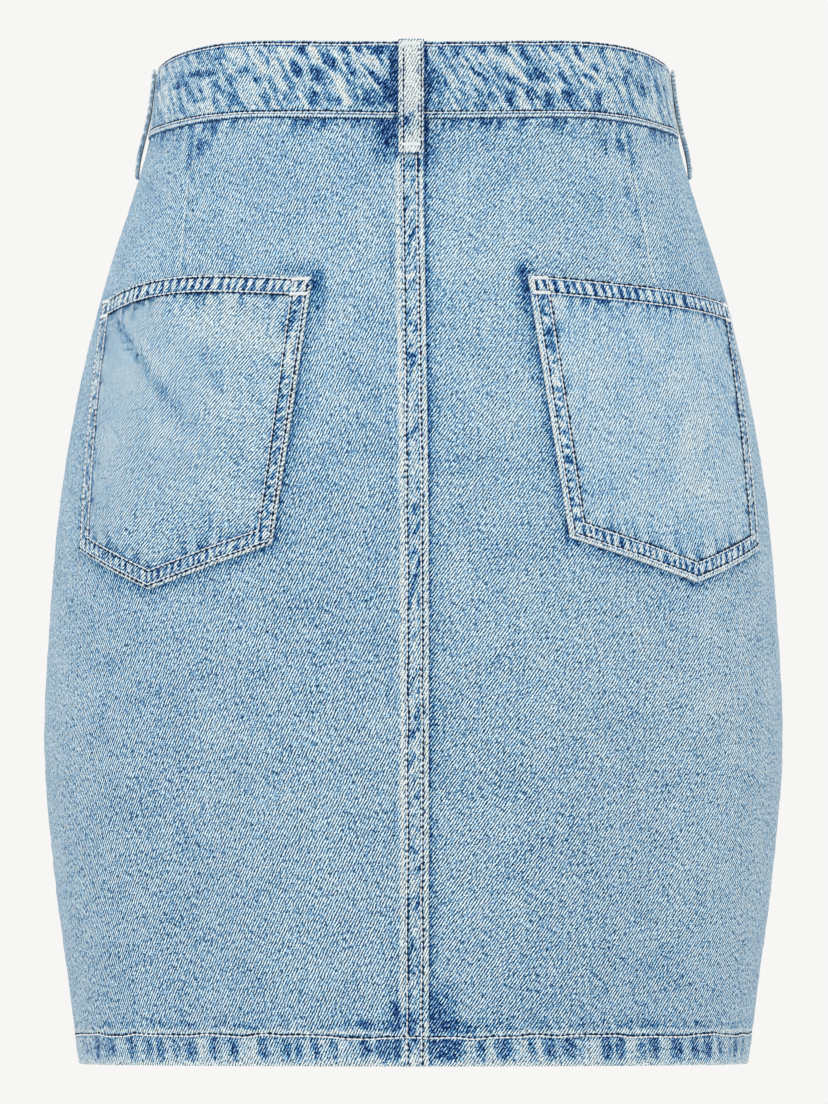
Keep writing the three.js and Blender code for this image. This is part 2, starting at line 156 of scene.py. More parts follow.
scene = bpy.context.scene
scene.view_settings.view_transform = "Standard"
world = bpy.data.worlds.new("pale_studio")
world.use_nodes = True
world.node_tree.nodes["Background"].inputs["Color"].default_value = linear(BACKDROP)
world.node_tree.nodes["Background"].inputs["Strength"].default_value = 1.0
scene.world = world


def soft_light(name, at):
    """A round area light that faces the middle of the skirt."""
    data = bpy.data.lights.new(name, "AREA")
    data.shape = "DISK"
    data.size = LIGHT_SIZE
    data.energy = LIGHT_WATTS
    lamp = bpy.data.objects.new(name, data)
    lamp.location = at
    aim = np.array(at) - LIT_PLACE
    down = math.atan2(math.hypot(aim[0], aim[1]), aim[2])
    lamp.rotation_euler = (down, 0, math.atan2(aim[1], aim[0]) + math.pi / 2)
    bpy.context.collection.objects.link(lamp)


soft_light("back_key", (-1.1, -2.2, 1.5))
soft_light("front_key", (1.1, 2.2, 1.5))

turns = np.arange(FLOOR_SIDES) * 2 * np.pi / FLOOR_SIDES
rim = np.stack([np.cos(turns), np.sin(turns), 0 * turns], -1) * FLOOR_RADIUS
rim[:, 2] = -FLOOR_DROP
floor_mesh = bpy.data.meshes.new("floor")
floor_mesh.from_pydata(rim.tolist(), [], [list(range(FLOOR_SIDES))])
floor = bpy.data.objects.new("floor", floor_mesh)
bpy.context.collection.objects.link(floor)
# Matt studio paper: no gloss, and so pale that it looks like the backdrop behind it
paper, _, _ = new_material("studio_paper", Base_Color=linear("#fffefc"), Roughness=0.9)
floor_mesh.materials.append(paper)
print("floor", FLOOR_DROP, "m below the waist")

# %% [markdown]
# The cloth's surface
#
# Denim hardly stretches, so all the pieces are laid on one surface and share its coordinates: the
# distance s along the cloth from the centre of the back or front, and the height z. Each level
# section is a tailor's oval, a wide arc across the middle and a tight one round the side.

# %% Sections of the skirt
# Height, half width, depth of the back and front (mm), turn of the back's and front's wide arc (degrees)
SECTIONS = np.array(
    [
        [30, 131.1, 94, 90.8, 24, 34],
        [20, 132.5, 95, 92, 24, 34],
        [-20, 138.0, 99, 97, 24, 34],
        [-50, 146.5, 105, 102, 26, 34],
        [-90, 159.3, 114, 106, 28, 34],
        [-140, 171.8, 123, 109, 30, 34],
        [-200, 182.5, 130, 111, 32, 34],
        [-270, 188.8, 132, 112, 32, 34],
        [-335, 191.3, 131, 112, 32, 34],
        [-400, 186.0, 128, 110, 32, 34],
        [-455, 178.7, 124, 108, 32, 34],
        [-499, 172.9, 121, 106, 32, 34],
    ]
)[::-1]
COLUMN = {"half": 1, "back": 2, "front": 3, "back turn": 4, "front turn": 5}


def section(z, name):
    """A column of the table at any height: cubic curves between the rows. The slope at a row is the
    mean of the slopes on its two sides, each weighted by the other side's length."""
    height = SECTIONS[:, 0]
    value = SECTIONS[:, COLUMN[name]]
    span = np.diff(height)
    slope = np.diff(value) / span
    inner = (slope[:-1] * span[1:] + slope[1:] * span[:-1]) / (span[1:] + span[:-1])
    tangent = np.concatenate([slope[:1], inner, slope[-1:]])
    level = np.clip(z, height[0], height[-1])
    i = np.clip(np.searchsorted(height, level, side="right") - 1, 0, len(span) - 1)
    t = (level - height[i]) / span[i]
    start = (2 * t**3 - 3 * t**2 + 1) * value[i] + (t**3 - 2 * t**2 + t) * span[i] * tangent[i]
    end = (3 * t**2 - 2 * t**3) * value[i + 1] + (t**3 - t**2) * span[i] * tangent[i + 1]
    return start + end


def oval(face, z):
    """Half width, depth, turn of the wide arc, and both radii. The arcs meet smoothly, so the gap
    between their radii is (half - depth) / (sin turn + cos turn - 1)."""
    half = section(z, "half")
    depth = section(z, face)
    turn = np.radians(section(z, face + " turn"))
    apart = (half - depth) / (np.sin(turn) + np.cos(turn) - 1)
    tight = depth - apart * (1 - np.cos(turn))
    return half, depth, turn, tight, tight + apart


def side_length(face, z):
    """Length of cloth from the centre line to the side seam: both arcs added."""
    _, _, turn, tight, wide = oval(face, z)
    return wide * turn + tight * (np.pi / 2 - turn)


def surface(face, s, z):
    """The point s along the level section at height z."""
    s, z = np.broadcast_arrays(np.asarray(s, float), np.asarray(z, float))
    half, depth, turn, tight, wide = oval(face, z)
    along = np.abs(s)
    in_wide = along <= wide * turn
    angle = np.where(in_wide, along / wide, turn + (along - wide * turn) / tight)
    x = np.where(in_wide, wide * np.sin(angle), half - tight + tight * np.sin(angle))
    y = np.where(in_wide, depth - wide + wide * np.cos(angle), tight * np.cos(angle))
    return np.stack([np.sign(s) * x, y if face == "front" else -y, z], -1)


def outward(face, s, z):
    """The unit vector out of the cloth: the cross product of two small steps on it."""
    across = surface(face, s + 0.5, z) - surface(face, s - 0.5, z)
    up = surface(face, s, z + 1.0) - surface(face, s, z - 1.0)
    normal = np.cross(up, across) if face == "front" else np.cross(across, up)
    return normal / np.linalg.norm(normal, axis=-1, keepdims=True)


print("round the hips:", round(float(2 * (side_length("back", -335) + side_length("front", -335)))), "mm")

# %% [markdown]
# Folds of the worn cloth
#
# A worn skirt has broad, soft troughs and ridges where the cloth was creased by sitting and by its
# own weight. Each is listed, with its own length, width, lean and height.

# %% Folds
# Place s and z, fade along and across (mm), lean from upright (degrees), height (mm)
FOLDS = {
    "back": np.array(
        [
            [-149, -143, 32, 16, -42, -1.4],
            [-112, -420, 75, 20, 4, -2.0],
            [-62, -380, 90, 22, -3, 1.6],
            [128, -425, 65, 22, -5, -2.2],
            [70, -370, 80, 24, 6, 1.6],
            [-48, -205, 60, 20, -8, -1.5],
            [46, -190, 55, 18, 8, -1.5],
        ]
    ),
    "front": np.array(
        [
            [-78, -330, 95, 24, 5, -2.4],
            [84, -350, 85, 22, -6, -2.2],
            [-120, -120, 40, 14, -34, -1.6],
            [118, -112, 36, 14, 38, -1.6],
        ]
    ),
}
FOLD_FREE_SIDE = 40.0


def smooth(t):
    """0 below 0, 1 above 1, and an S curve between: 3t squared less 2t cubed."""
    t = np.clip(t, 0, 1)
    return t * t * (3 - 2 * t)


def fold_height(face, s, z):
    """The sum of the folds: each is its height times a bell along and a bell across its own line."""
    total = np.zeros(np.broadcast(s, z).shape)
    for place_s, place_z, along, across, lean, height in FOLDS[face]:
        lean = math.radians(lean)
        u = (s - place_s) * math.sin(lean) + (z - place_z) * math.cos(lean)
        v = (s - place_s) * math.cos(lean) - (z - place_z) * math.sin(lean)
        total = total + height * np.exp(-((u / along) ** 2) - (v / across) ** 2)
    return total * smooth((side_length(face, z) - np.abs(s)) / FOLD_FREE_SIDE)


def cloth(face, s, z, out):
    """A point of the cloth in mm: the surface, moved out by its folds and by out."""
    moved = fold_height(face, s, z) + out
    return surface(face, s, z) + outward(face, s, z) * np.asarray(moved)[..., None]


print(sum(len(rows) for rows in FOLDS.values()), "folds")

# %% [markdown]
# Noise and puckers
#
# Washing shrinks the thread more than the cloth, so the cloth beside each seam puckers. A pucker is
# smooth random height along the seam that fades away from it. The same number then raises the cloth,
# rubs its ridge pale and leaves its hollow dark.


# %% Noise and puckers
LATTICE = (97, 89)  # the noise repeats after so many cells


def bell(x, middle, width):
    """A bell curve: 1 at the middle, fading over width."""
    return np.exp(-(((x - middle) / width) ** 2))


def soft_noise(x, y, cell, seed):
    """Random numbers from -1 to 1 on a lattice of cell mm, blended smoothly between its corners."""
    table = np.random.default_rng(seed).uniform(-1, 1, LATTICE)
    u = np.asarray(x) / cell[0]
    v = np.asarray(y) / cell[1]
    i = np.floor(u).astype(int)
    j = np.floor(v).astype(int)
    a = smooth(u - i)
    b = smooth(v - j)
    left = i % LATTICE[0]
    right = (i + 1) % LATTICE[0]
    under = j % LATTICE[1]
    over = (j + 1) % LATTICE[1]
    low = table[left, under] * (1 - a) + table[right, under] * a
    high = table[left, over] * (1 - a) + table[right, over] * a
    return low * (1 - b) + high * b


def puckers(along, away, pitch, reach, lean, seed):
    """Ridges and hollows across a seam, from -1 to 1: noise along it, slanted by lean, that fades
    over reach mm to either side."""
    noise = soft_noise(along + lean * away, away, (pitch / 2, 2.5 * reach), seed)
    return np.clip(1.7 * noise, -1, 1) * np.exp(-((away / reach) ** 2))


def graded(start, *stretches):
    """Places along a line. Each stretch is its end and the step wanted up to there."""
    places = [start]
    for end, step in stretches:
        count = max(1, round(abs(end - places[-1]) / step))
        places.extend(np.linspace(places[-1], end, count + 1)[1:])
    return np.array(places)


class Marks:
    """What the wash and the sewing did to a piece, with the light and shade painted on it: its raised
    height, where it is worn or painted light, where it kept its indigo or is painted shade, where it
    is worn in small flecks, and how far each place lies from a dart."""

    def __init__(self, shape):
        self.lift = np.zeros(shape)
        self.wear_and_light = np.zeros(shape)
        self.indigo_and_shade = np.zeros(shape)
        self.mottle = np.zeros(shape)
        self.dart = np.zeros(shape)

    def pucker(self, amount, height=0.35, wear_and_light=0.6, indigo_and_shade=0.8):
        """Raises the ridges and rubs them, and lowers the hollows and leaves them dark."""
        self.lift += height * amount
        self.wear_and_light += wear_and_light * np.clip(amount, 0, 1)
        self.indigo_and_shade += indigo_and_shade * np.clip(-amount, 0, 1)

    def stitch_groove(self, away, dark=0.35):
        """A sewn line pulls the cloth in: flat beside the thread, with a rim of painted shade at each
        side of it.
        """
        self.lift *= 1 - bell(away, 0, 1.1)
        self.lift -= 0.2 * bell(away, 0, 0.8)
        self.indigo_and_shade += dark * bell(np.abs(away), 0.75, 0.4)


# %% [markdown]
# Cloth walls as meshes
#
# A cut piece of cloth has an outer face, an inner face and an edge between them. The outer and inner
# faces are two grids of points on the same places, and a rim of quads closes them into one wall.


# %% Meshes from arrays
def new_mesh(name, points, quads):
    """A mesh from points in mm and quads of point numbers."""
    mesh = bpy.data.meshes.new(name)
    mesh.vertices.add(len(points))
    mesh.vertices.foreach_set("co", (points * MM).astype(np.float32).ravel())
    mesh.loops.add(quads.size)
    mesh.loops.foreach_set("vertex_index", quads.astype(np.int32).ravel())
    mesh.polygons.add(len(quads))
    mesh.polygons.foreach_set("loop_start", np.arange(0, quads.size, 4, dtype=np.int32))
    mesh.update(calc_edges=True)
    mesh.shade_smooth()
    return mesh


def place(name, mesh, materials, node=None):
    """Puts a mesh in the scene, riding on the skirt, with its materials, and hides the CAD node it stands
    for.
    """
    piece = bpy.data.objects.new(name, mesh)
    for material in materials:
        mesh.materials.append(material)
    bpy.context.collection.objects.link(piece)
    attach(piece, "root")
    if node:
        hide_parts(node)
    return piece


CREASE_ANGLE = math.radians(55)
RIB_LEAN = math.radians(63)  # the twill ribs' lean from level
MOST_MARK = 1.2
FRONT_OFFSET = 1000.0  # mm added on the front, so that its threads aren't those of the back


def on_grain(s, z, rib_lean):
    """Places on the cloth turned in their plane, so that the ribs lean by rib_lean degrees: each piece
    was cut a little off the straight grain."""
    turn = RIB_LEAN - math.radians(rib_lean)
    return s * math.cos(turn) - z * math.sin(turn), s * math.sin(turn) + z * math.cos(turn)


def wall(name, outer, inner, places, marks):
    """A closed wall between two grids. Its UV map holds s and z in metres, and its marks are
    attributes of its points. Outer faces have material 0 and inner faces material 1."""
    rows, columns = outer.shape[:2]
    layer = rows * columns
    index = np.arange(layer).reshape(rows, columns)
    quad = np.stack([index[:-1, :-1], index[:-1, 1:], index[1:, 1:], index[1:, :-1]], -1)
    quad = quad.reshape(-1, 4)
    border = np.concatenate([index[0, :-1], index[:-1, -1], index[-1, :0:-1], index[:0:-1, 0]])
    after = np.roll(border, -1)
    rim_quads = np.stack([after, border, border + layer, after + layer], -1)
    quads = np.concatenate([quad, quad[:, ::-1] + layer, rim_quads])
    corner = outer[:-1, :-1]
    facing = np.cross(outer[:-1, 1:] - corner, outer[1:, :-1] - corner)
    if (facing * (corner - inner[:-1, :-1])).sum() < 0:
        quads = quads[:, ::-1]
    points = np.concatenate([outer.reshape(-1, 3), inner.reshape(-1, 3)])
    mesh = new_mesh(name, points, quads)
    inside = np.zeros(len(quads), np.int32)
    inside[len(quad) : 2 * len(quad)] = 1
    mesh.polygons.foreach_set("material_index", inside)
    mesh.set_sharp_from_angle(angle=CREASE_ANGLE)
    uv = mesh.uv_layers.new(name="cloth")
    flat = (np.stack(places, -1).reshape(-1, 2) * MM).astype(np.float32)
    uv.data.foreach_set("uv", flat[quads.ravel() % layer].ravel())
    limited = {key: np.clip(getattr(marks, key), 0, MOST_MARK) for key in ("wear_and_light", "indigo_and_shade", "mottle")}
    for key, value in {**limited, "dart": marks.dart}.items():
        held = mesh.attributes.new(key, "FLOAT", "POINT")
        held.data.foreach_set("value", np.tile(value.astype(np.float32).ravel(), 2))
    return mesh


def flat_area(mesh):
    """The flat area of a wall of cloth in square metres: half of its whole surface."""
    areas = np.empty(len(mesh.polygons), np.float32)
    mesh.polygons.foreach_get("area", areas)
    return float(areas.sum()) / 2


def round_edge(away, reach, drop):
    """How far a wall's edge is eased inwards: a quarter circle that starts reach mm from the edge."""
    t = np.clip(1 - away / reach, 0, 1)
    return drop * (1 - np.sqrt(1 - t * t))


# %% [markdown]
# Stonewashed denim
#
# Denim is a twill: blue warp threads and white weft threads cross so that fine diagonal ribs rise
# from lower left to upper right. Stonewashing rubs the ribs white. One number from 0, unworn indigo,
# to 1, worn white, is summed from the ribs, broken threads, streaks of uneven yarn, cloudy wash, and
# the marks of wear, kept indigo and painted light and shade. A colour ramp then turns it into denim.

# %% Denim
RIB_MM = 1.35  # real ribs are 0.8 mm apart; these are as coarse as the picture shows them
# Noise cells in a millimetre of cloth
SWAY_CELLS = 0.22  # the ribs' wander
FIBRE_CELLS = 1.4  # single fibres, which are finer in the real cloth
FLECK_CELLS = 0.42  # flecks 2 mm across
CLOUD_CELLS = 0.05  # clouds 20 mm across
WASH_CELLS = 0.011  # broad areas 90 mm across
RIB_PIECES = (2.2, 0.75, 1)  # an unbroken piece of a rib, mm along and across it
YARN_PIECES = (1.2, 24, 1)  # a stretch of evenly dyed yarn, mm across and along it
# Worn denim by its lightness: deep indigo, then grey-blue, then nearly neutral white
DENIM_SHADES = [
    (0.16, "#002e6b"),
    (0.33, "#155994"),
    (0.45, "#417aaa"),
    (0.57, "#6696c0"),
    (0.67, "#85b0d6"),
    (0.73, "#98bfe1"),
    (0.79, "#b2cfe9"),
    (0.85, "#cadfed"),
    (1.0, "#f6fafc"),
]
# The loops are rubbed nearly white, with less blue left in them
LOOP_SHADES = [
    (0.16, "#002e6b"),
    (0.4, "#3b6b98"),
    (0.6, "#86a6bf"),
    (0.72, "#aec2d0"),
    (0.82, "#c9d5dc"),
    (1.0, "#f4f6f6"),
]
INSIDE_SHADES = [(0.3, "#4f6b88"), (0.5, "#8597a9"), (0.7, "#b4bfc9"), (1.0, "#eceff1")]
DISPLAY_GAMMA = 2.2
THREAD_TINT = (1.05, 1.08, 1.15)  # the threads' light and dark differ most in blue
DARKEST = (0.03, 0.14, 0.28)
PALEST = (0.93, 0.985, 1.0)
DART_ZERO = 20.0  # the dart attribute holds the distance to the line in mm, plus this


def summed(tree, terms, start):
    """start plus every term: its weight times how far its source is from its own middle."""
    total = start - sum(weight * middle for weight, _, middle in terms)
    for weight, source, _ in terms:
        total = add_node(tree, "Math", {0: source, 1: weight, 2: total}, operation="MULTIPLY_ADD")
        total = total.outputs[0]
    return total


# %% [markdown]
# Threads
#
# The ribs are a sine across the cloth. Noise makes them wander, breaks them into pieces and covers
# them with fibre.


# %% Twill
def twill(tree, grain, lean, contrast):
    """The light and dark of single threads, about 0: a sine across the wandering ribs, stronger and
    weaker piece by piece, and noise of the same pieces and of fibres."""
    sway = add_node(tree, "TexNoise", {"Vector": grain, "Scale": SWAY_CELLS, "Detail": 2.0})
    swayed = {0: sway.outputs["Color"], 1: (0.9, 0.9, 0), 2: grain}
    swayed = add_node(tree, "VectorMath", swayed, operation="MULTIPLY_ADD").outputs[0]
    step = 2 * math.pi / RIB_MM
    across = (math.sin(lean) * step, -math.cos(lean) * step, 0)
    phase = add_node(tree, "VectorMath", {0: swayed, 1: across}, operation="DOT_PRODUCT")
    ribs = add_node(tree, "Math", {0: phase.outputs["Value"]}, operation="SINE").outputs[0]
    pieces = {"Vector": swayed, "Rotation": (0, 0, lean), "Scale": RIB_PIECES}
    pieces = add_node(tree, "Mapping", pieces, vector_type="TEXTURE").outputs[0]
    broken = add_node(tree, "TexNoise", {"Vector": pieces, "Scale": 1.0, "Detail": 1.0}).outputs[0]
    fibre = add_node(tree, "TexNoise", {"Vector": grain, "Scale": FIBRE_CELLS, "Detail": 2.0})
    uneven = add_node(tree, "MapRange", {0: broken, 1: 0.3, 2: 0.7, 3: 0.45, 4: 1.25}).outputs[0]
    ribs = add_node(tree, "Math", {0: ribs, 1: uneven}, operation="MULTIPLY").outputs[0]
    terms = [(0.42 * contrast, ribs, 0)]
    terms += [(1.6 * contrast, broken, 0.5), (1.65 * contrast, fibre.outputs[0], 0.5)]
    threads = summed(tree, terms, 0.0)
    # Low on the skirt the cloth is rubbed less, and its threads stand out more
    height = add_node(tree, "TexCoord").outputs["Object"]
    height = add_node(tree, "SeparateXYZ", {0: height}).outputs["Z"]
    crisp = add_node(tree, "MapRange", {0: height, 1: -0.36, 2: -0.14, 3: 1.12, 4: 0.86}).outputs[0]
    return add_node(tree, "Math", {0: threads, 1: crisp}, operation="MULTIPLY").outputs[0]


# %% [markdown]
# Lightness and colour
#
# The marks on the mesh pull the lightness up or down, the ramp gives it a colour, and the threads are
# added last.


# %% Finishes
def dart_line(tree):
    """1 on the dart's line and 0 beside it. The attribute is a distance, which stays exact between
    the points of a mesh, so the line is sharp."""
    away = add_node(tree, "Attribute", attribute_name="dart").outputs["Fac"]
    away = add_node(tree, "Math", {0: away, 1: DART_ZERO}, operation="SUBTRACT").outputs[0]
    away = add_node(tree, "Math", {0: away}, operation="ABSOLUTE").outputs[0]
    return add_node(tree, "MapRange", {0: away, 1: 0.3, 2: 0.95, 3: 1.0, 4: 0.0}).outputs[0]


def lightness(tree, grain, base, wear_and_light_pull, indigo_and_shade_pull):
    """The cloth's lightness without its threads: base, changed by yarn, clouds, wash and marks. The
    marks hold wear and kept indigo, and painted light and shade.
    """
    yarn = add_node(tree, "Mapping", {"Vector": grain, "Scale": YARN_PIECES}, vector_type="TEXTURE")
    streak = add_node(tree, "TexNoise", {"Vector": yarn.outputs[0], "Scale": 1.0, "Detail": 1.0})
    cloud = {"Vector": grain, "Scale": CLOUD_CELLS, "Detail": 3.0, "Roughness": 0.6}
    cloud = add_node(tree, "TexNoise", cloud)
    wash = add_node(tree, "TexNoise", {"Vector": grain, "Scale": WASH_CELLS, "Detail": 1.0})
    wear_and_light = add_node(tree, "Attribute", attribute_name="wear_and_light").outputs["Fac"]
    indigo_and_shade = add_node(tree, "Attribute", attribute_name="indigo_and_shade").outputs["Fac"]
    # The flecks are crisper than the mesh, and only show where the cloth is mottled
    fleck = add_node(tree, "TexNoise", {"Vector": grain, "Scale": FLECK_CELLS, "Detail": 2.0}).outputs[0]
    fleck = add_node(tree, "MapRange", {0: fleck, 1: 0.36, 2: 0.64, 3: -1.0, 4: 1.0}).outputs[0]
    mottle = add_node(tree, "Attribute", attribute_name="mottle").outputs["Fac"]
    mottled = add_node(tree, "Math", {0: fleck, 1: mottle}, operation="MULTIPLY").outputs[0]
    # Each noise swings about its own middle, so base stays the mean
    terms = [(0.2, streak.outputs[0], 0.5), (0.32, cloud.outputs[0], 0.5)]
    terms += [(0.15, wash.outputs[0], 0.5), (wear_and_light_pull, wear_and_light, 0), (-indigo_and_shade_pull, indigo_and_shade, 0)]
    terms += [(-0.17, mottled, 0), (0.2, dart_line(tree), 0)]
    return summed(tree, terms, base)


def denim(name, shades, base, lean=RIB_LEAN, contrast=1.0, wear_and_light_pull=0.25, indigo_and_shade_pull=0.5):
    """A denim finish. base is its mean lightness, and the two pulls are those of the pale mark, wear
    with painted light, and of the dark mark, kept indigo with painted shade. The threads are added in
    display values, where they are as strong in pale cloth as in dark."""
    # Cotton fibre: no gloss, and a pale nap that shows where the cloth turns away
    material, tree, shader = new_material(
        name,
        Roughness=0.95,
        Specular_IOR_Level=0.15,
        Sheen_Weight=0.15,
        Sheen_Roughness=0.5,
        Sheen_Tint=linear("#e4e7e8"),
    )
    uv = add_node(tree, "UVMap", uv_map="cloth").outputs[0]
    grain = add_node(tree, "VectorMath", {0: uv, "Scale": 1 / MM}, operation="SCALE").outputs[0]
    threads = twill(tree, grain, lean, contrast)
    ramp = add_node(tree, "ValToRGB", {"Fac": lightness(tree, grain, base, wear_and_light_pull, indigo_and_shade_pull)})
    fill_ramp(ramp.color_ramp, shades)
    display = add_node(tree, "Gamma", {"Color": ramp.outputs["Color"], "Gamma": 1 / DISPLAY_GAMMA})
    grained = {0: threads, 1: THREAD_TINT, 2: display.outputs[0]}
    grained = add_node(tree, "VectorMath", grained, operation="MULTIPLY_ADD").outputs[0]
    limited = add_node(tree, "VectorMath", {0: grained, 1: DARKEST}, operation="MAXIMUM").outputs[0]
    limited = add_node(tree, "VectorMath", {0: limited, 1: PALEST}, operation="MINIMUM").outputs[0]
    colour = add_node(tree, "Gamma", {"Color": limited, "Gamma": DISPLAY_GAMMA})
    rough = add_node(tree, "Bump", {"Height": threads, "Strength": 0.35, "Distance": 0.0003})
    tree.links.new(colour.outputs[0], shader.inputs["Base Color"])
    tree.links.new(rough.outputs[0], shader.inputs["Normal"])
    return material


panel_denim = denim("stonewashed_denim", DENIM_SHADES, 0.665, contrast=1.1)
band_denim = denim("stonewashed_denim_band", DENIM_SHADES, 0.74, contrast=1.1, indigo_and_shade_pull=0.68, wear_and_light_pull=0.3)
pocket_denim = {
    "left": denim("stonewashed_denim_left_pocket", DENIM_SHADES, 0.72, contrast=1.15, indigo_and_shade_pull=0.6),
    "right": denim("stonewashed_denim_right_pocket", DENIM_SHADES, 0.72, contrast=0.9, indigo_and_shade_pull=0.6),
}
loop_denim = denim("rubbed_denim_loop", LOOP_SHADES, 0.79, contrast=1.0, indigo_and_shade_pull=0.6)
# The side loops are seen edge on, where ribs would crowd into rings
side_loop_denim = denim("rubbed_denim_side_loop", LOOP_SHADES, 0.78, contrast=0.3, indigo_and_shade_pull=0.3)
# Inside, the white weft lies on top, so the cloth is paler and its ribs lean the other way
inside_denim = denim("denim_inside", INSIDE_SHADES, 0.68, lean=math.pi - RIB_LEAN, contrast=0.7)
print("denim ribs", RIB_MM, "mm apart")

# %% [markdown]
# The panels
#
# Four panels make the body. The left panel of the back and of the front laps over the right one and
# is sewn down twice, which makes the raised strip down the middle. Each back panel has a dart, and
# the hem is turned up and sewn once.

# %% Sizes of the sewing
# Heights above the middle of the waistband, mm
BAND_TOP = 20.0
BAND_SEAM = -20.0
HEM_LINE = -484.0
HEM = -499.0
# Thicknesses and gaps, mm
CLOTH = 1.2
GAP = 0.3
LAID_GAP = 0.55
SEAM_DROP = 0.55
BAND_PROUD = 1.0
BAND_INSIDE = 1.6
# How the band's edges close in at the side seams, and arch on either side of the centre back
SIDE_DIP = 3.0
SIDE_RISE = 1.5
SIDE_REACH = 34.0
BAND_ARCH = 3.1
ARCH_AT = 96.0
ARCH_REACH = 50.0
# The lapped seam: its step, the two edges of its strip, its two rows, and its lean at the top
LAP_LIFT = CLOTH + GAP
LAP_RAMP = 2.2
LAP = {"back": (-5.8, 7.5), "front": (-6.5, 6.5)}
LAP_ROWS = {"back": (-3.3, 4.0), "front": (-3.8, 3.4)}
BACK_LAP_DRIFT = -2.4
DRIFT_FOOT = -260.0
DRIFT_HEIGHT = 240.0
BACK_LOOP_S = -1.2
# Where a dart starts and ends along the cloth, and the height of its foot
DARTS = {"left": (-123.0, -126.0), "right": (117.0, 130.0)}
DART_FOOT = -104.0
BLACK_FOOT = -46.0  # above this height its line is black
# The corners of the pockets as s and z, and how far their mouths bow up
POCKET_CORNERS = {
    "left": {
        "inner_top": (-51.3, -102.0),
        "outer_top": (-190.0, -107.0),
        "outer_foot": (-190.5, -237.0),
        "tip": (-140.0, -259.0),
        "inner_foot": (-71.7, -237.7),
    },
    "right": {
        "inner_top": (58.0, -100.7),
        "outer_top": (197.0, -107.6),
        "outer_foot": (203.5, -236.0),
        "tip": (152.0, -255.0),
        "inner_foot": (79.5, -234.3),
    },
}
MOUTH_BOW = {"left": 6.4, "right": 0.0}
print("sewn", round(BAND_TOP - HEM), "mm from the waist's edge to the hem")

# %% [markdown]
# Where the wash left its marks, and where light and shade are painted
#
# Some places are sheltered in the wash and keep their indigo, and light and shade are painted over
# broad areas, mostly paler high on the back and darker low down. They are laid out in tables, one row for
# each.

# %% Tables of the wash and of painted light and shade
# Patches that kept their indigo, and one of painted shadow under the back loop's foot:
# s, z, half width, half height, lean (mm sideways a mm), strength
BACK_PATCHES = [
    [-173, -478, 9, 1.8, 0, 0.35],
    [-142, -480, 1, 2.4, 0, 0.5],
    [-133, -478, 2.4, 1.8, 0, 0.4],
    [-120, -478, 6.4, 1.7, 0, 0.4],
    [-99, -477, 3.5, 1.8, 0.5, 0.6],
    [-92, -479, 3, 1.6, 0.5, 0.55],
    [-46, -479, 2, 1.8, 0, 0.45],
    [-40, -478, 1.5, 1.6, 0, 0.45],
    [-33, -478, 3, 1.8, 0, 0.5],
    [-24, -478, 5, 2.3, 0, 0.7],
    [-14, -479, 3, 2.8, 0, 0.7],
    [-8.8, -475, 3.4, 9, 0, 1.0],
    [-2, -476, 3.4, 5.5, 0, 0.95],
    [11.2, -475, 4.4, 10, 0.15, 1.1],
    [18, -479, 9, 4.0, 0, 1.0],
    [28, -480, 4.5, 2.8, 0, 0.75],
    [38, -480, 4.5, 2.4, 0, 0.65],
    [48, -480, 3.5, 2, 0, 0.6],
    [62, -476, 3.5, 5.2, 0.4, 0.35],
    [15, -468, 8, 9, 0, 0.5],
    [124, -477, 3, 2.6, 0, 0.3],
    [154, -478, 2.2, 1.8, 0, 0.45],
    [163, -480, 1.2, 1.8, 0, 0.4],
    [172, -478, 2.8, 1.2, 0, 0.4],
    [-12, -27, 6.5, 10, 0, 1.1],
    [-17, -36, 5, 9, 0, 0.5],
    [10, -36, 2.2, 12, 0, 0.25],
    [-45, -21, 8, 3, 0.3, 0.5],
    [-28, -21, 6, 3.5, 0.4, 0.5],
    [36, -22, 4, 2.5, 0.3, 0.35],
    [72, -22, 6, 3, 0.4, 0.4],
    # Painted shadow under the back loop's foot
    [0, -44.5, 7, 2.4, 0, 1.0],
    [-116, -31, 3.6, 4.5, 0, 0.85],
    [-110, -30, 2, 4, 0, 0.5],
    [-107, -22, 1.8, 3, 0, 0.6],
    [-119, -45, 2.6, 2, 0, 0.55],
    [-119, -60, 2.4, 2.4, 0, 0.35],
    [-119, -73, 2, 2, 0, 0.35],
    [-123, -93, 1.6, 4, 0, 0.5],
    [111.5, -30, 3, 5, 0.2, 0.9],
    [101, -30, 3, 5, 0.3, 0.5],
    [114.5, -54, 2.2, 3.5, 0.3, 0.65],
    [119.5, -66, 1.4, 2.4, 0.3, 0.6],
    [120.5, -81, 3, 2.4, 0, 0.6],
    [-48, -104, 3, 6, 0, 0.7],
    [-47, -112, 3, 14, 0, 0.45],
    [-60, -97, 9, 3, 0, 0.35],
    [55, -99, 3, 5, 0, 0.75],
    [56, -108, 3, 14, 0, 0.5],
    [-196, -112, 4, 8, 0, 0.5],
]
FRONT_PATCHES = [
    [-9.5, -474, 3, 12, 0, 1.0],
    [10, -474, 4, 10, 0, 1.0],
    [17, -479, 6, 3.2, 0, 0.8],
    [-22, -478, 5, 2.2, 0, 0.6],
    [40, -479, 5, 2.2, 0, 0.5],
    [-64, -479, 4, 2, 0, 0.4],
    [96, -478, 5, 2, 0, 0.45],
    [-120, -479, 6, 2, 0, 0.4],
    [-45, -26, 4, 9, 0, 0.7],
    [11, -32, 3, 12, 0, 0.6],
    [-13, -160, 6, 5, 0, 0.7],
    [-66, -24, 5, 4, 0.3, 0.5],
    [78, -24, 5, 4, 0.3, 0.5],
]
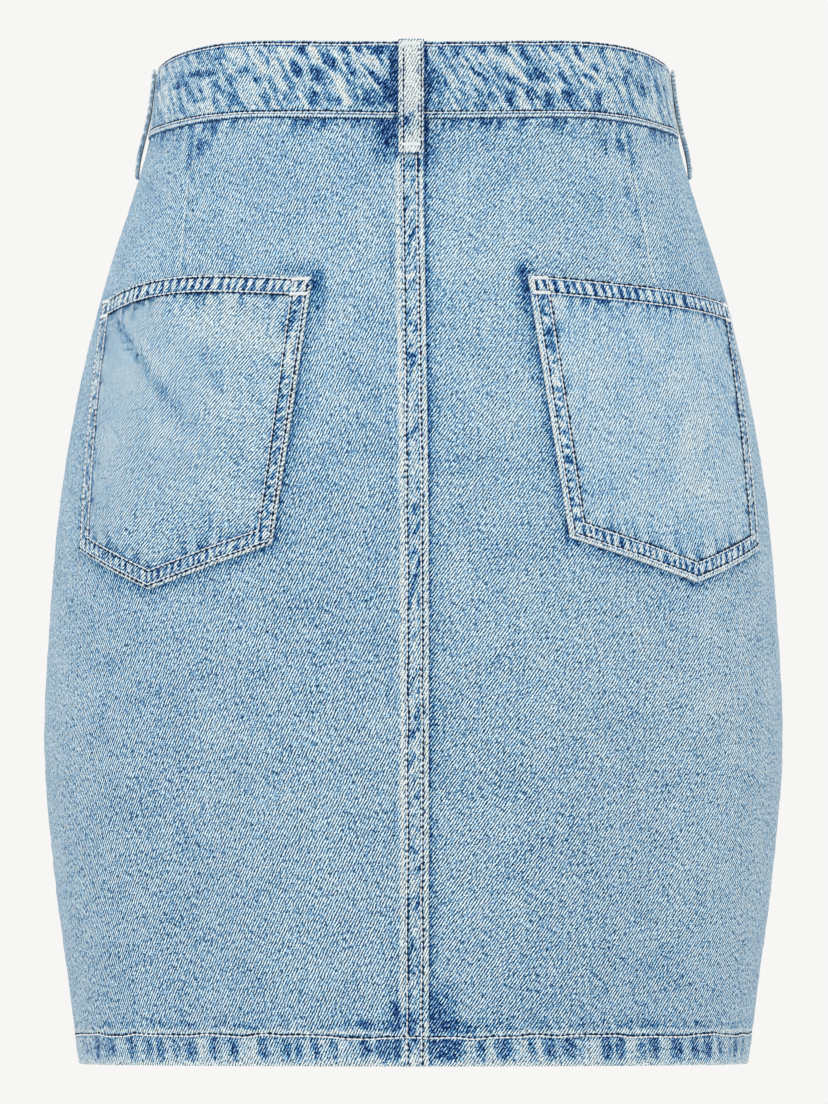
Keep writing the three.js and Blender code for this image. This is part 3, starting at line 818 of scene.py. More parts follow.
# Dark dimples under the back's hem row: s, half width, strength
HEM_DIMPLES = [
    [-198, 2.4, 0.4], [-192, 1.3, 0.3], [-184, 2.7, 0.6], [-174, 5, 0.3], [-168, 2.5, 0.5],
    [-154, 2.3, 0.6], [-142, 2.7, 0.55], [-135, 2.3, 0.65], [-126, 1.8, 0.45], [-117, 3.5, 0.6],
    [-104, 2.9, 0.55], [-93, 2.3, 0.7], [-77, 2.3, 0.7], [-64, 2.5, 0.55], [-58, 2, 0.5],
    [-49, 2, 0.7], [-40, 1.2, 0.4], [-24, 2.5, 0.7], [-15, 4, 0.9], [-8.5, 2.6, 1.0],
    [16, 8, 1.3], [34, 2.5, 0.55], [45, 4, 0.85], [60, 2, 0.5], [69, 2.9, 0.75],
    [80, 3.5, 0.7], [100, 3, 0.7], [108, 2.3, 0.6], [120, 2.7, 0.35], [128, 2.9, 0.65],
    [142, 4.1, 0.6], [154, 3, 0.6], [164, 3.3, 0.75], [174, 2.5, 0.45], [184, 1.6, 0.35],
    [191, 2.7, 0.5], [202, 2.6, 0.35],
]
# Sharper creases: s, z, fade along and across, lean from upright (degrees), height, and dark: painted
# # shade in the trough, or pale where it is below 0
CREASES = [
    [-151, -139.5, 44, 2.4, -43, -0.9, 0.36],
    [-146, -135, 40, 3.2, -43, 0.6, -0.2],
    [-104, -150, 16, 4, -30, -0.3, 0.15],
]
# Painted light and shade over broad areas: s, z, half width, half height, change in lightness
BACK_PAINTED_LIGHT_AND_SHADE = [
    [0, -85, 120, 45, 0.04], [-40, -155, 32, 60, 0.05], [50, -165, 42, 60, 0.045],
    [135, -170, 70, 55, 0.045], [-160, -390, 55, 110, -0.035], [110, -445, 70, 40, -0.035],
    [35, -475, 40, 22, -0.04], [-60, -470, 60, 20, -0.02], [20, -300, 30, 60, 0.02],
    [185, -300, 40, 80, 0.025], [-125, -68, 40, 35, 0.045], [110, -35, 60, 18, 0.055],
    [150, -248, 55, 22, 0.045], [165, -345, 35, 60, 0.025], [-175, -450, 45, 30, -0.055],
    [-125, -112, 38, 18, 0.045],
]
print(len(BACK_PATCHES), "patches and", len(HEM_DIMPLES), "dimples on the back")

# %% [markdown]
# Lines of the sewing
#
# The band's edges, the lapped seam and the hem's row are never quite straight. Each is a small
# function of the place along the cloth, so that the cloth and its stitches follow the same line.


# %% Lines of the sewing
def near_side(face, s):
    """1 at the side seam, fading over the band's side reach."""
    return bell(side_length(face, 0.0) - np.abs(s), 0, SIDE_REACH)


def band_arch(face, s):
    """How far both edges of the band rise on either side of the centre back."""
    return (face == "back") * BAND_ARCH * bell(np.abs(s), ARCH_AT, ARCH_REACH)


def band_top(face, s):
    """The height of the band's upper edge, which dips at the sides."""
    return BAND_TOP + band_arch(face, s) - SIDE_DIP * near_side(face, s)


def band_foot(face, s):
    """The height of the band's lower edge, which rises at the sides."""
    return BAND_SEAM + band_arch(face, s) + SIDE_RISE * near_side(face, s)


def seam_drift(face, z):
    """How far the lapped seam leans to the left at a height: a little, near the top of the back."""
    return (face == "back") * BACK_LAP_DRIFT * smooth((z - DRIFT_FOOT) / DRIFT_HEIGHT)


def hem_line(face, s):
    """The height of the hem's sewn row: level, with a slight dip at the centre back."""
    return HEM_LINE - (face == "back") * 1.2 * bell(s, 10, 45)


# %% [markdown]
# Patches, areas and distances
#
# The tables turn into marks by adding soft shapes up on the grid of a piece.


# %% Shapes of the marks
WEAR_AND_LIGHT_PULL = 0.25  # the pull on the lightness of the mark for wear and painted light
INDIGO_AND_SHADE_PULL = 0.5  # and that of the mark for kept indigo and painted shade


def patches(s, z, rows, seed, ragged=0.5):
    """How dark the patches of a table are: leaning ovals with a soft, ragged rim. The darkest wins."""
    uneven = 1 + ragged * soft_noise(s, z, (1.9, 2.4), seed)
    darkest = np.zeros(s.shape)
    for at_s, at_z, wide, high, lean, strength in rows:
        across = (s - at_s + lean * (z - at_z)) / wide
        away = (across**2 + ((z - at_z) / high) ** 2) * uneven
        darkest = np.maximum(darkest, strength * np.exp(-(away**2)))
    return darkest


def paint_broad_light_and_shade(marks, s, z):
    """Painted light and shade over broad areas: on the pale mark where paler, on the dark mark where
    darker.
    """
    change = np.zeros(s.shape)
    for at_s, at_z, wide, high, amount in BACK_PAINTED_LIGHT_AND_SHADE:
        change += amount * np.exp(-(((s - at_s) / wide) ** 2) - ((z - at_z) / high) ** 2)
    marks.wear_and_light += np.clip(change, 0, None) / WEAR_AND_LIGHT_PULL
    marks.indigo_and_shade += np.clip(-change, 0, None) / INDIGO_AND_SHADE_PULL


def segment_distance(s, z, start, end):
    """Distance in mm from each place to a straight line between two places on the cloth."""
    along = np.array(end) - np.array(start)
    t = ((s - start[0]) * along[0] + (z - start[1]) * along[1]) / (along @ along)
    t = np.clip(t, 0, 1)
    return np.hypot(s - start[0] - t * along[0], z - start[1] - t * along[1])


# %% [markdown]
# Marks on a panel
#
# Each function below adds one kind of mark to a panel. Its numbers are widths in mm and strengths,
# matched to what the wash does beside such a seam and to the shade painted there.


# %% Marks of the sewing on a panel
def mark_under_band(marks, s, below, seed):
    """The band's edge shades the cloth under it, and short puckers hang from the seam."""
    marks.pucker(puckers(s, below, 4.0, 6.5, 0.3, seed), 0.35, 0.45, 0.9)
    marks.indigo_and_shade += 1.1 * bell(below, 0, 0.7)
    marks.mottle += 0.9 * np.exp(-np.clip(below, 0, None) / 5)


def mark_hem(marks, face, s, z, dimples, seed):
    """The hem is one sewn row. Below it the doubled cloth is dimpled, and above it lies a pale ledge."""
    above = z - hem_line(face, s)
    down = np.clip(-above, 0, None)
    rows = [[at, HEM_LINE - 5.5, wide, 6.2, 0.12, strength] for at, wide, strength in dimples]
    dark = patches(s, z, rows, seed, 0.22) * smooth(-above / 1.2)
    marks.pucker(puckers(s, down, 7, 12, 0.1, seed + 1) * smooth(-above / 1.2), 0.25, 0.35, 0.25)
    marks.lift -= 0.35 * dark
    marks.indigo_and_shade += 2.0 * dark
    fleck = np.clip(2 * soft_noise(s + 0.5 * z, z, (2.2, 3.5), seed + 2) - 0.4, 0, 1)
    marks.indigo_and_shade += 0.7 * fleck * bell(above, 5.5, 3.0)
    marks.wear_and_light += 0.8 * bell(above, 2.2, 1.3) + 0.5 * bell(z, HEM, 2.2) + 0.4 * smooth(-above / 1.5)
    marks.mottle += 0.5 * smooth(-above / 1.2) + 0.6 * bell(above, 4, 4) * (above > 0)
    marks.stitch_groove(above, 0.9)


def mark_side_seam(marks, z, to_side, seed):
    """The side seam is a narrow groove with a rubbed ridge and small puckers on either side."""
    marks.pucker(puckers(z, to_side, 9, 7, 0.2, seed), 0.3, 0.35, 0.45)
    marks.wear_and_light += 0.35 * bell(to_side, 2.0, 1.2)
    marks.indigo_and_shade += 0.55 * bell(to_side, 0, 0.9)
    marks.lift -= 0.5 * bell(to_side, 0, 1.0)
    marks.mottle += 0.5 * np.exp(-to_side / 6)


def mark_lap(marks, face, s, z, seed):
    """The lapped strip is rubbed along both edges, dimpled by its two sewn rows, and shades the
    cloth beside it."""
    start, end = LAP[face]
    on_strip = smooth((s - start + LAP_RAMP) / LAP_RAMP) * (s <= end + 0.01)
    fleck = np.clip(2.2 * soft_noise(s - 0.5 * z, z, (1.8, 4.5), seed) - 0.5, 0, 1) * on_strip
    marks.indigo_and_shade += 1.5 * fleck * bell(s, 0.4, 3.4)
    marks.lift -= 0.1 * fleck
    in_hem = smooth((HEM_LINE - z - 1) / 2)
    marks.wear_and_light += on_strip * (0.4 + 0.9 * bell(s, end - 0.7, 1.0) + 0.8 * bell(s, start + 0.3, 1.2))
    marks.wear_and_light += 0.5 * on_strip * in_hem
    for row in LAP_ROWS[face]:
        marks.stitch_groove(s - row, 0.45)
    beside = np.clip(s - end, 0, None)
    uneven = 0.7 + 0.3 * soft_noise(s, z, (6, 26), seed + 1)
    marks.indigo_and_shade += (s > end) * (1.2 * np.exp(-beside / 0.9) + 0.75 * uneven * np.exp(-beside / 3.2))
    marks.mottle += 0.9 * on_strip + 0.5 * np.exp(-beside / 5) * (s > end)
    left = start - LAP_RAMP - s
    blotch = np.clip(soft_noise(s, z, (4, 24), seed + 2), 0, 1)
    marks.indigo_and_shade += (left > 0) * 0.5 * blotch * np.exp(-left / 4.5)


def mark_dart(marks, s, z, side, seed):
    """A dart is a sewn fold: a fine line, black under the band and rubbed pale further down, with
    pale dimples on the side of its seam allowance."""
    top, foot = DARTS[side]
    line = np.interp(-z, [-BAND_SEAM, -DART_FOOT], [top, foot])
    inward = (s - line) * (1 if side == "left" else -1)
    shown = smooth((z - DART_FOOT) / 20)
    near_band = smooth((z - BLACK_FOOT) / 8)
    marks.lift -= 0.7 * np.clip(1 - np.abs(inward) / 3, 0, 1) * shown
    marks.dart = (DART_ZERO + np.clip(inward, -15, 15)) * (z > DART_FOOT)
    marks.mottle += 0.7 * bell(inward, 3.5, 4) * shown
    marks.indigo_and_shade += 0.25 * bell(inward, 1.6, 1.2) * shown
    marks.indigo_and_shade += 1.2 * bell(inward, 0, 1.2) * near_band
    pale = np.clip(2 * soft_noise(0 * s, z, (9, 7.5), seed), 0, 1)
    marks.wear_and_light += 0.5 * pale * bell(inward, 3.0, 2.6) * shown


def mark_pocket_shadow(marks, s, z, side, seed):
    """The pocket's sewn edges stand proud and shade the panel round them."""
    corners = POCKET_CORNERS[side]
    walk = ["inner_top", "inner_foot", "tip", "outer_foot", "outer_top"]
    away = np.full(s.shape, 1e3)
    for start, end in zip(walk, walk[1:]):
        away = np.minimum(away, segment_distance(s, z, corners[start], corners[end]))
    uneven = 0.75 + 0.35 * soft_noise(s, z, (7, 7), seed)
    marks.indigo_and_shade += uneven * (0.9 * np.exp(-away / 1.4) + 0.4 * bell(away, 0, 6))
    marks.mottle += 0.4 * bell(away, 0, 8)


def mark_creases(marks, s, z):
    """Sharper creases: a narrow trough painted dark as shade, or a ridge beside it that is pale."""
    for at_s, at_z, along, across, lean, height, dark in CREASES:
        lean = math.radians(lean)
        u = (s - at_s) * math.sin(lean) + (z - at_z) * math.cos(lean)
        v = (s - at_s) * math.cos(lean) - (z - at_z) * math.sin(lean)
        shape = np.exp(-((u / along) ** 4) - (v / across) ** 2)
        marks.lift += height * shape
        marks.indigo_and_shade += np.clip(dark, 0, 1) * shape
        marks.wear_and_light += np.clip(-dark, 0, 1) * shape


def scattered(first, last, pitch, seed):
    """Dimples for a hem that nobody placed: about a pitch apart, of uneven width and strength."""
    rng = np.random.default_rng(seed)
    places = np.arange(first, last, pitch)
    count = len(places)
    places = places + rng.uniform(-0.3, 0.3, count) * pitch
    return np.stack([places, rng.uniform(2, 4.2, count), rng.uniform(0.4, 0.8, count)], -1)


# %% [markdown]
# A panel's points and walls
#
# A panel is a grid of places on the cloth, close together where it is sewn. Its marks are worked out
# on the same grid. They raise the outer wall and follow it into the finish.

# %% Panels
NEAR_LAP = 14.0  # columns keep their distance from the centre line up to here, mm
NEAR_SIDE = 8.0  # and from the side seam from here on
SHARED_COLUMNS = 110
ROW_PITCH = {"back": 2.8, "front": 3.4}
TOP_ROWS = 14.0
HEM_ROWS = 31.0
PANEL_RIBS = {"left": 64, "right": 55}
PANEL_SEEDS = {"back": 100, "front": 300}
SEED_STEP = 7
HEM_INSIDE = 2 * 0.75 * CLOTH  # the hem's two inner layers, pressed flat
HEM_SIDE = 190.0
DIMPLE_PITCH = 11.0
LOOP_FOOT = -43.0


def panel_grid(face, side, near):
    """s and z of a panel's points, and the length of its levels. Columns keep their distance from
    the centre line near the lap and from the side seam near the seam, and share the cloth evenly
    between. Rows are closest at the top and the hem."""
    toward = -1 if side == "left" else 1
    whole = BAND_SEAM - SEAM_DROP - HEM
    drop = graded(0, (TOP_ROWS, 1.0), (whole - HEM_ROWS, ROW_PITCH[face]), (whole, 0.85))[:, None]
    level = BAND_SEAM - SEAM_DROP - drop
    length = side_length(face, level)
    near = near + seam_drift(face, level)
    start = near[:, -1:]
    share = np.linspace(0, 1, SHARED_COLUMNS + 2)[1:-1]
    shared = start + share * (toward * (length - NEAR_SIDE) - start)
    far = toward * (length - graded(NEAR_SIDE, (GAP / 2, 0.9)))
    s = np.concatenate([near, shared, far], axis=1)
    z = level + (band_foot(face, s) - BAND_SEAM) * (1 - smooth(drop / 60))
    return s, z, length


def panel_marks(face, side, s, z, seed):
    """All that the sewing and the wash did to a panel, and the shade painted on it beside the band,
    the lap, the pockets and the back loop, with broad painted light and shade.
    """
    marks = Marks(s.shape)
    mark_under_band(marks, s, band_foot(face, s) - z, seed)
    mark_side_seam(marks, z, side_length(face, z) - np.abs(s), seed + 10)
    mark_lap(marks, face, s - seam_drift(face, z), z, seed + 20)
    paint_broad_light_and_shade(marks, s, z)
    rows = FRONT_PATCHES
    dimples = scattered(-HEM_SIDE, HEM_SIDE, DIMPLE_PITCH, 64)
    if face == "back":
        rows = BACK_PATCHES
        dimples = HEM_DIMPLES
        mark_dart(marks, s, z, side, seed + 30)
        mark_pocket_shadow(marks, s, z, side, seed + 40)
        # Painted shadow of the back loop's long edges on the panel
        marks.indigo_and_shade += 1.5 * bell(np.abs(s - BACK_LOOP_S), 7.4, 1.1) * smooth((z - LOOP_FOOT) / 2)
    marks.indigo_and_shade += patches(s, z, rows, seed + 50)
    mark_hem(marks, face, s, z, dimples, seed + 60)
    return marks


def panel(face, side, near, seed):
    """One panel: its outer wall is raised on the lap, and its inner wall is thick at the hem."""
    node = f"{face}_{side}"
    s, z, length = panel_grid(face, side, near)
    marks = panel_marks(face, side, s, z, seed)
    start, end = LAP[face]
    from_lap = s - seam_drift(face, z)
    on_lap = smooth((from_lap - start + LAP_RAMP) / LAP_RAMP) * (side == "left")
    lapped = LAP_LIFT * on_lap
    hem_inside = HEM_INSIDE * smooth((HEM_LINE - z) / 1.5) * (1 - on_lap)
    at_hem = round_edge(z - HEM, 1.2, CLOTH * 0.6)
    at_lap = round_edge(end - from_lap, 0.9, 0.5) * (side == "left")
    outer = cloth(face, s, z, lapped + marks.lift - at_hem - at_lap)
    inner = cloth(face, s, z, lapped - CLOTH - hem_inside + 0.35 * marks.lift + at_hem)
    flat = on_grain(s + FRONT_OFFSET * (face == "front"), z + 0.37 * seed, PANEL_RIBS[side])
    mesh = wall("cloth_" + node, outer, inner, flat, marks)
    piece = place("cloth_" + node, mesh, [panel_denim, inside_denim], node)
    flat_area(mesh)


for face, seed in PANEL_SEEDS.items():
    start, end = LAP[face]
    over = graded(end, (start - LAP_RAMP - 4, 0.75))
    under = graded(start + 1.2, (NEAR_LAP, 0.75))
    panel(face, "left", over, seed)
    panel(face, "right", under, seed + SEED_STEP)

# %% [markdown]
# The waistband
#
# The band is a strip folded in two and sewn along both edges. The thread drew up in the wash and
# twisted the strip, so slanted ridges run across it from one row of stitches to the other.

# %% Waistband
# Patches of kept indigo and rubbed ridges on the back band. A ridge: the s and z of its two ends,
# # then its strength
BACK_BAND_PATCHES = [
    [-58, 16, 2.5, 3.1, 0.3, 0.7], [-60, 6, 3, 3.6, 0.3, 0.7], [-50, 3, 3.5, 4.7, 0.4, 0.8],
    [-74, 18, 2.3, 2.6, 0.3, 0.45], [-76, 12, 1.5, 3.1, 0.3, 0.5], [-35, 16, 2.5, 2.6, 0.5, 0.7],
    [-28, 16, 2, 2.6, 0.5, 0.8], [-18, 15, 3, 3.1, 0.2, 0.9], [-10, 4, 2.4, 14, 0, 0.95],
    [-51, -8, 3, 4.7, 0.2, 0.8], [-64, -8, 2.9, 3.6, 0.4, 0.7], [-38, -10, 2, 3.6, 0.4, 0.65],
    [-24, -10, 3, 3.1, 0.3, 0.6], [-21, 2, 3, 4.7, 0.7, 0.8], [-14, -6, 3.2, 6.8, 0.3, 0.9],
    [-76, -7, 1.8, 4.2, 0.3, 0.6], [-97, -7, 1.8, 4.2, 0.1, 0.55], [-96, 4, 3.3, 2.1, 0, 0.55],
    [-115, 8, 12.8, 1.9, 0.05, 0.75], [-88, 7, 4.7, 2.6, 0.2, 0.5], [-81, 2, 3.5, 2.1, 0.3, 0.55],
    [-118, -6, 6, 1.6, 0, 0.4], [-136, 4, 6.5, 1.8, 0.2, 0.55], [-152, 9, 4.5, 3.1, 0.4, 0.45],
    [-104, 16, 2.7, 1.6, 0, 0.3], [-164, 8, 8, 3.1, 0.3, 0.5], [-43, 10, 2.9, 4.7, 0.5, 0.5],
    [-32, 6, 2.5, 4.7, 0.6, 0.55], [9, 3, 2.5, 2.4, 0, 0.6], [9, -4, 1.5, 4.7, 0, 0.6],
    [14, 14, 2.5, 2.1, 0, 0.35], [21, 14, 2, 3.6, 0.2, 0.65], [35, 16, 3, 2.6, 0.5, 0.7],
    [32, 4, 2.2, 5, 1.7, 0.75], [46, 16, 2, 3.1, 0.2, 0.75], [42, 5, 3.5, 4.2, 0.8, 0.55],
    [52, 0, 3, 3.6, 1.3, 0.65], [57, 13, 2.5, 4.2, 0.5, 0.6], [66, 3, 4.5, 4, 1.2, 0.8],
    [66, 17, 2.9, 2.1, 0.4, 0.6], [74, 18, 2.3, 2.6, 0.3, 0.5], [76, 2, 3.5, 3.1, 0.5, 0.65],
    [86, 16, 1.5, 3.1, 0.3, 0.75], [92, 4, 3, 3, 1.2, 0.7], [97, 9, 3.5, 2.6, 0.7, 0.65],
    [104, 5, 2.7, 2.1, 0.4, 0.45], [113, 4, 3.8, 2.6, 0.6, 0.4], [124, 18, 1.7, 2.1, 0.2, 0.5],
    [130, 2, 1.8, 4.7, 0.3, 0.5], [145, 5, 3.8, 3.6, 0.5, 0.4], [157, 4, 3.7, 4.2, 0.4, 0.4],
    [40, -8, 2, 4.2, 0.2, 0.5], [50, -8, 2, 4.2, 0.1, 0.8], [60, -5, 2.5, 5.2, 0.3, 0.75],
    [70, -8, 2.9, 4.7, 0.2, 0.85], [80, -6, 2.9, 4.2, 0.1, 0.75], [98, -6, 2, 4.2, 0.1, 0.75],
    [61, 4, 4.7, 3.6, 0.7, 0.6],
]
BACK_BAND_RIDGES = [
    [-82, 12, -72, -6, 0.6], [-52, 18, -32, -12, 0.9], [-34, 18, -16, -8, 1], [-22, 12, -18, 8, 0.5],
    [30, 16, 44, -2, 0.9], [44, 15, 64, -6, 0.9], [51, 16, 60, -1, 0.6], [66, 17, 76, -1, 0.9],
    [78, 18, 90, 0, 0.6], [84, 14, 100, 0, 0.9], [22, 16, 29, 2, 0.4], [102, 18, 117, -4, 0.4],
    [114, 18, 128, -4, 0.3], [-43, 18, -32, 0, 0.5], [-70, 20, -63, 4, 0.4], [-66, 0, -58, -14, 0.4],
    [74, -1, 76, -12, 0.5], [90, 0, 94, -12, 0.4], [54, -5, 56, -14, 0.4],
]
BAND_RIBS = 60
BAND_TOP_ROW = 2.0
BAND_FOOT_ROW = 2.5
BAND_END = 6.5
BAND_UNDERLAP = 31.0
BAND_RAMP = 8.0
BAND_OVER = BAND_PROUD + BAND_INSIDE + LAID_GAP


def ridges(s, z, rows, seed):
    """How high the ridges of a table are: wavy lines, each a bell of the distance to it."""
    waved = s + 1.6 * soft_noise(s, z, (7, 6), seed)
    highest = np.zeros(s.shape)
    for from_s, from_z, to_s, to_z, strength in rows:
        away = segment_distance(waved, z, (from_s, from_z), (to_s, to_z))
        highest = np.maximum(highest, strength * bell(away, 0, 0.85))
    return highest


def made_up_band(seed):
    """Patches and ridges for the front band, which the picture doesn't show, like those of the back."""
    rng = np.random.default_rng(seed)
    places = np.arange(-150, 151, 6.5)
    size = rng.uniform([1.6, 2.2, 0.1, 0.35], [3.6, 4.6, 0.6, 0.8], (len(places), 4))
    height = np.where(rng.uniform(size=len(places)) < 0.5, 9, -7) + rng.uniform(-3, 5, len(places))
    dark = np.column_stack([places, height, size])
    top = np.arange(-140, 141, 15.0) + rng.uniform(-4, 4, 19)
    pale = np.column_stack([top, top * 0 + 17, top + rng.uniform(10, 18, 19), top * 0 - 6])
    return dark, np.column_stack([pale, rng.uniform(0.4, 0.9, 19)])


# %% [markdown]
# The band's marks and walls
#
# Ridges and patches fill the band between its two rows, and its edges are rubbed. Shade is painted
# along its lower edge and beside the back loop.


# %% Band walls
def band_marks(face, s, z, from_foot, from_top, seed):
    """All that the sewing and the wash did to a strip of the waistband, with painted shade along its
    lower edge and beside the back loop.
    """
    marks = Marks(s.shape)
    between_rows = smooth((from_foot - 3.2) / 1.2) * smooth((from_top - 2.2) / 1.0)
    rows, lines = (BACK_BAND_PATCHES, BACK_BAND_RIDGES) if face == "back" else made_up_band(seed + 5)
    dark = patches(s, z, rows, seed) * between_rows
    pale = ridges(s, z, lines, seed + 1) * between_rows
    marks.lift += 0.6 * pale - 0.35 * dark
    marks.wear_and_light += 1.35 * pale
    marks.indigo_and_shade += 1.1 * dark * (1 - 0.8 * np.clip(pale, 0, 1))
    shallow = np.clip(1.8 * soft_noise(s + 0.6 * z, z, (2.6, 8), seed + 2), -1, 1)
    marks.pucker(shallow * between_rows, 0.2, 0.4, 0.42)
    marks.mottle += 0.55 * between_rows
    rubbed = 1.1 + 0.6 * soft_noise(s, z, (1.3, 1.5), seed + 4)
    marks.wear_and_light += rubbed * smooth((BAND_FOOT_ROW - 0.5 - from_foot) / 0.5)
    marks.wear_and_light += 0.6 * bell(from_top, 0, 0.9)
    # Painted shade along the band's lower edge
    marks.indigo_and_shade += 1.2 * bell(from_foot, -0.1, 0.5)
    marks.pucker(puckers(s, from_top - BAND_TOP_ROW, 4.5, 3, 0.4, seed + 3), 0.15, 0.2, 0.4)
    marks.stitch_groove(from_top - BAND_TOP_ROW, 0.8)
    marks.stitch_groove(from_foot - BAND_FOOT_ROW, 0.8)
    # Painted shadow of the back loop's edges on the band
    if face == "back":
        marks.indigo_and_shade += 1.7 * bell(np.abs(s - BACK_LOOP_S), 7.3, 1.1)
    return marks


def band(name, face, s, seed, over=0.0):
    """A strip of the waistband over places s along the cloth, raised by over."""
    high = BAND_TOP - BAND_SEAM
    rise = graded(0, (5, 0.6), (high - 6, 1.0), (high, 0.6))[:, None]
    s = np.broadcast_to(s, (len(rise), len(s)))
    foot = band_foot(face, s)
    top = band_top(face, s)
    z = foot + rise / high * (top - foot)
    marks = band_marks(face, s, z, z - foot, top - z, seed)
    at_top = round_edge(top - z, 1.1, 0.9)
    ease = at_top + round_edge(z - foot, 0.8, 0.5)
    outer = cloth(face, s, z, BAND_PROUD + over + marks.lift - ease)
    inner = cloth(face, s, z, over - BAND_INSIDE + 0.3 * marks.lift + at_top)
    flat = on_grain(s + FRONT_OFFSET * (face == "front"), z + 300 + seed, BAND_RIBS)
    return wall(name, outer, inner, flat, marks)


def finish_band(mesh, node):
    """Places a band piece, works out its flat area, and returns the piece."""
    piece = place("cloth_" + node, mesh, [band_denim, band_denim], node)
    area = flat_area(mesh)
    return piece


back_side = float(side_length("back", 0.0)) - GAP / 2
front_side = float(side_length("front", 0.0)) - GAP / 2
back_band = band("cloth_waistband_back", "back", graded(-back_side, (back_side, 0.8)), 500)
finish_band(back_band, "waistband_back")
under_places = graded(1.5 - BAND_UNDERLAP, (front_side, 0.9))
under_band = band("cloth_waistband_front_right", "front", under_places, 520)
finish_band(under_band, "waistband_front_right")
over_places = graded(BAND_END, (-front_side, 0.9))
over_lift = BAND_OVER * smooth((over_places + BAND_UNDERLAP + BAND_RAMP) / BAND_RAMP)
over_band = band("cloth_waistband_front_left", "front", over_places, 540, over_lift)

# %% [markdown]
# The buttonhole
#
# The buttonhole is a real slot. A box is stood on the band and cut out of it with a Boolean
# modifier, which is applied at once so that the piece stays a plain mesh.

# %% Buttonhole
BUTTON_S = -5.5
HOLE_LENGTH = 20.0
HOLE_HEIGHT = 3.0
NECK_FROM_END = 2.5  # the button's neck stands this far from the end of its hole
HOLE_MIDDLE = BUTTON_S + NECK_FROM_END - HOLE_LENGTH / 2
CUTTER_DEEP = 9  # the box reaches this far to either side of the cloth, mm


def stand(points, face, s, z, out=0.0):
    """Points given as right, up and out of the cloth, stood on the cloth at one place, in mm."""
    normal = outward(face, s, z)
    up = np.array([0.0, 0.0, 1.0]) - normal * normal[2]
    up /= np.linalg.norm(up)
    right = np.cross(up, normal)
    frame_axes = np.stack([right, up, normal])
    return surface(face, s, z) + (points + np.array([0, 0, out])) @ frame_axes


ends = (-1, 1)
half_box = np.array([[x, y, w] for w in ends for y in ends for x in ends], float)
half_box *= (HOLE_LENGTH / 2, HOLE_HEIGHT / 2, CUTTER_DEEP)
box_quads = np.array([[0, 2, 3, 1], [4, 5, 7, 6], [0, 1, 5, 4], [2, 6, 7, 3], [0, 4, 6, 2], [1, 3, 7, 5]])
cutter_mesh = new_mesh("buttonhole_cutter", stand(half_box, "front", HOLE_MIDDLE, 0.0), box_quads)
cutter = bpy.data.objects.new("buttonhole_cutter", cutter_mesh)
bpy.context.collection.objects.link(cutter)
over_piece = finish_band(over_band, "waistband_front_left")
slot = over_piece.modifiers.new("buttonhole", "BOOLEAN")
slot.operation = "DIFFERENCE"
slot.solver = "EXACT"
slot.object = cutter
depsgraph = bpy.context.evaluated_depsgraph_get()
cut_mesh = bpy.data.meshes.new_from_object(over_piece.evaluated_get(depsgraph))
over_piece.modifiers.clear()
over_piece.data = cut_mesh
bpy.data.objects.remove(cutter)
print("buttonhole", HOLE_LENGTH, "by", HOLE_HEIGHT, "mm")

# %% [markdown]
# The pockets
#
# A patch pocket is a pentagon of denim with its edges turned under, sewn on with two rows. The mouth
# is hemmed first, also with two rows. Where the cloth lies double, the wash marks it the most.

# %% Pockets
POCKET_RIBS = {"left": 48, "right": 63}
POCKET_ROWS = (2.4, 9.2)
POCKET_HEM_ROWS = (1.7, 9.4)
POCKET_EDGE_PROUD = 0.6
FOOT_SLANT = 0.97  # the shortest way to the slanting foot, as a share of the way straight down


class Pocket:
    """A pentagon on the cloth, reached by u across from the inner edge and v down from the mouth."""

    def __init__(self, side):
        corners = POCKET_CORNERS[side]
        self.bow = MOUTH_BOW[side]
        self.corner = {name: np.array(at) for name, at in corners.items()}
        self.width = self.gap("inner_top", "outer_top")
        self.height = self.gap("inner_top", "inner_foot")
        to_tip = self.gap("inner_foot", "tip")
        self.tip_at = to_tip / (to_tip + self.gap("tip", "outer_foot"))

    def gap(self, start, end):
        """The straight distance between two corners."""
        return float(np.linalg.norm(self.corner[start] - self.corner[end]))

    def at(self, u, v):
        """Places on the cloth: straight lines from the mouth, which bows up in its middle, to the
        foot, whose point is at tip_at."""
        u, v = (np.asarray(x, float)[..., None] for x in np.broadcast_arrays(u, v))
        c = self.corner
        top = c["inner_top"] * (1 - u) + c["outer_top"] * u
        top = top + np.sin(np.pi * u**1.2) * np.array([0.0, self.bow])
        first = u / self.tip_at
        second = (u - self.tip_at) / (1 - self.tip_at)
        before = c["inner_foot"] * (1 - first) + c["tip"] * first
        beyond = c["tip"] * (1 - second) + c["outer_foot"] * second
        foot = np.where(u < self.tip_at, before, beyond)
        both = top * (1 - v) + foot * v
        return both[..., 0], both[..., 1]

    def depth(self, u):
        """The pocket's depth at u: from the mouth straight down to the foot."""
        s0, z0 = self.at(u, 0.0)
        s1, z1 = self.at(u, 1.0)
        return np.hypot(s1 - s0, z1 - z0)


# %% [markdown]
# Marks on a pocket
#
# The turned edges and the hem are double cloth, so the wash bites there the most: dark bars between
# the rows, and dark wedges and spikes where the double cloth ends.


# %% Marks on a pocket
def striped(along, away, pitch, seed):
    """Uneven bars across a sewn edge, from -1 to 1, a pitch apart."""
    phase = 2 * np.pi * along / pitch + 2.6 * soft_noise(along, 0 * along, (9, 9), seed)
    return np.clip(1.4 * np.sin(phase) + 0.9 * soft_noise(along, away, (3, 4), seed + 5), -1, 1)


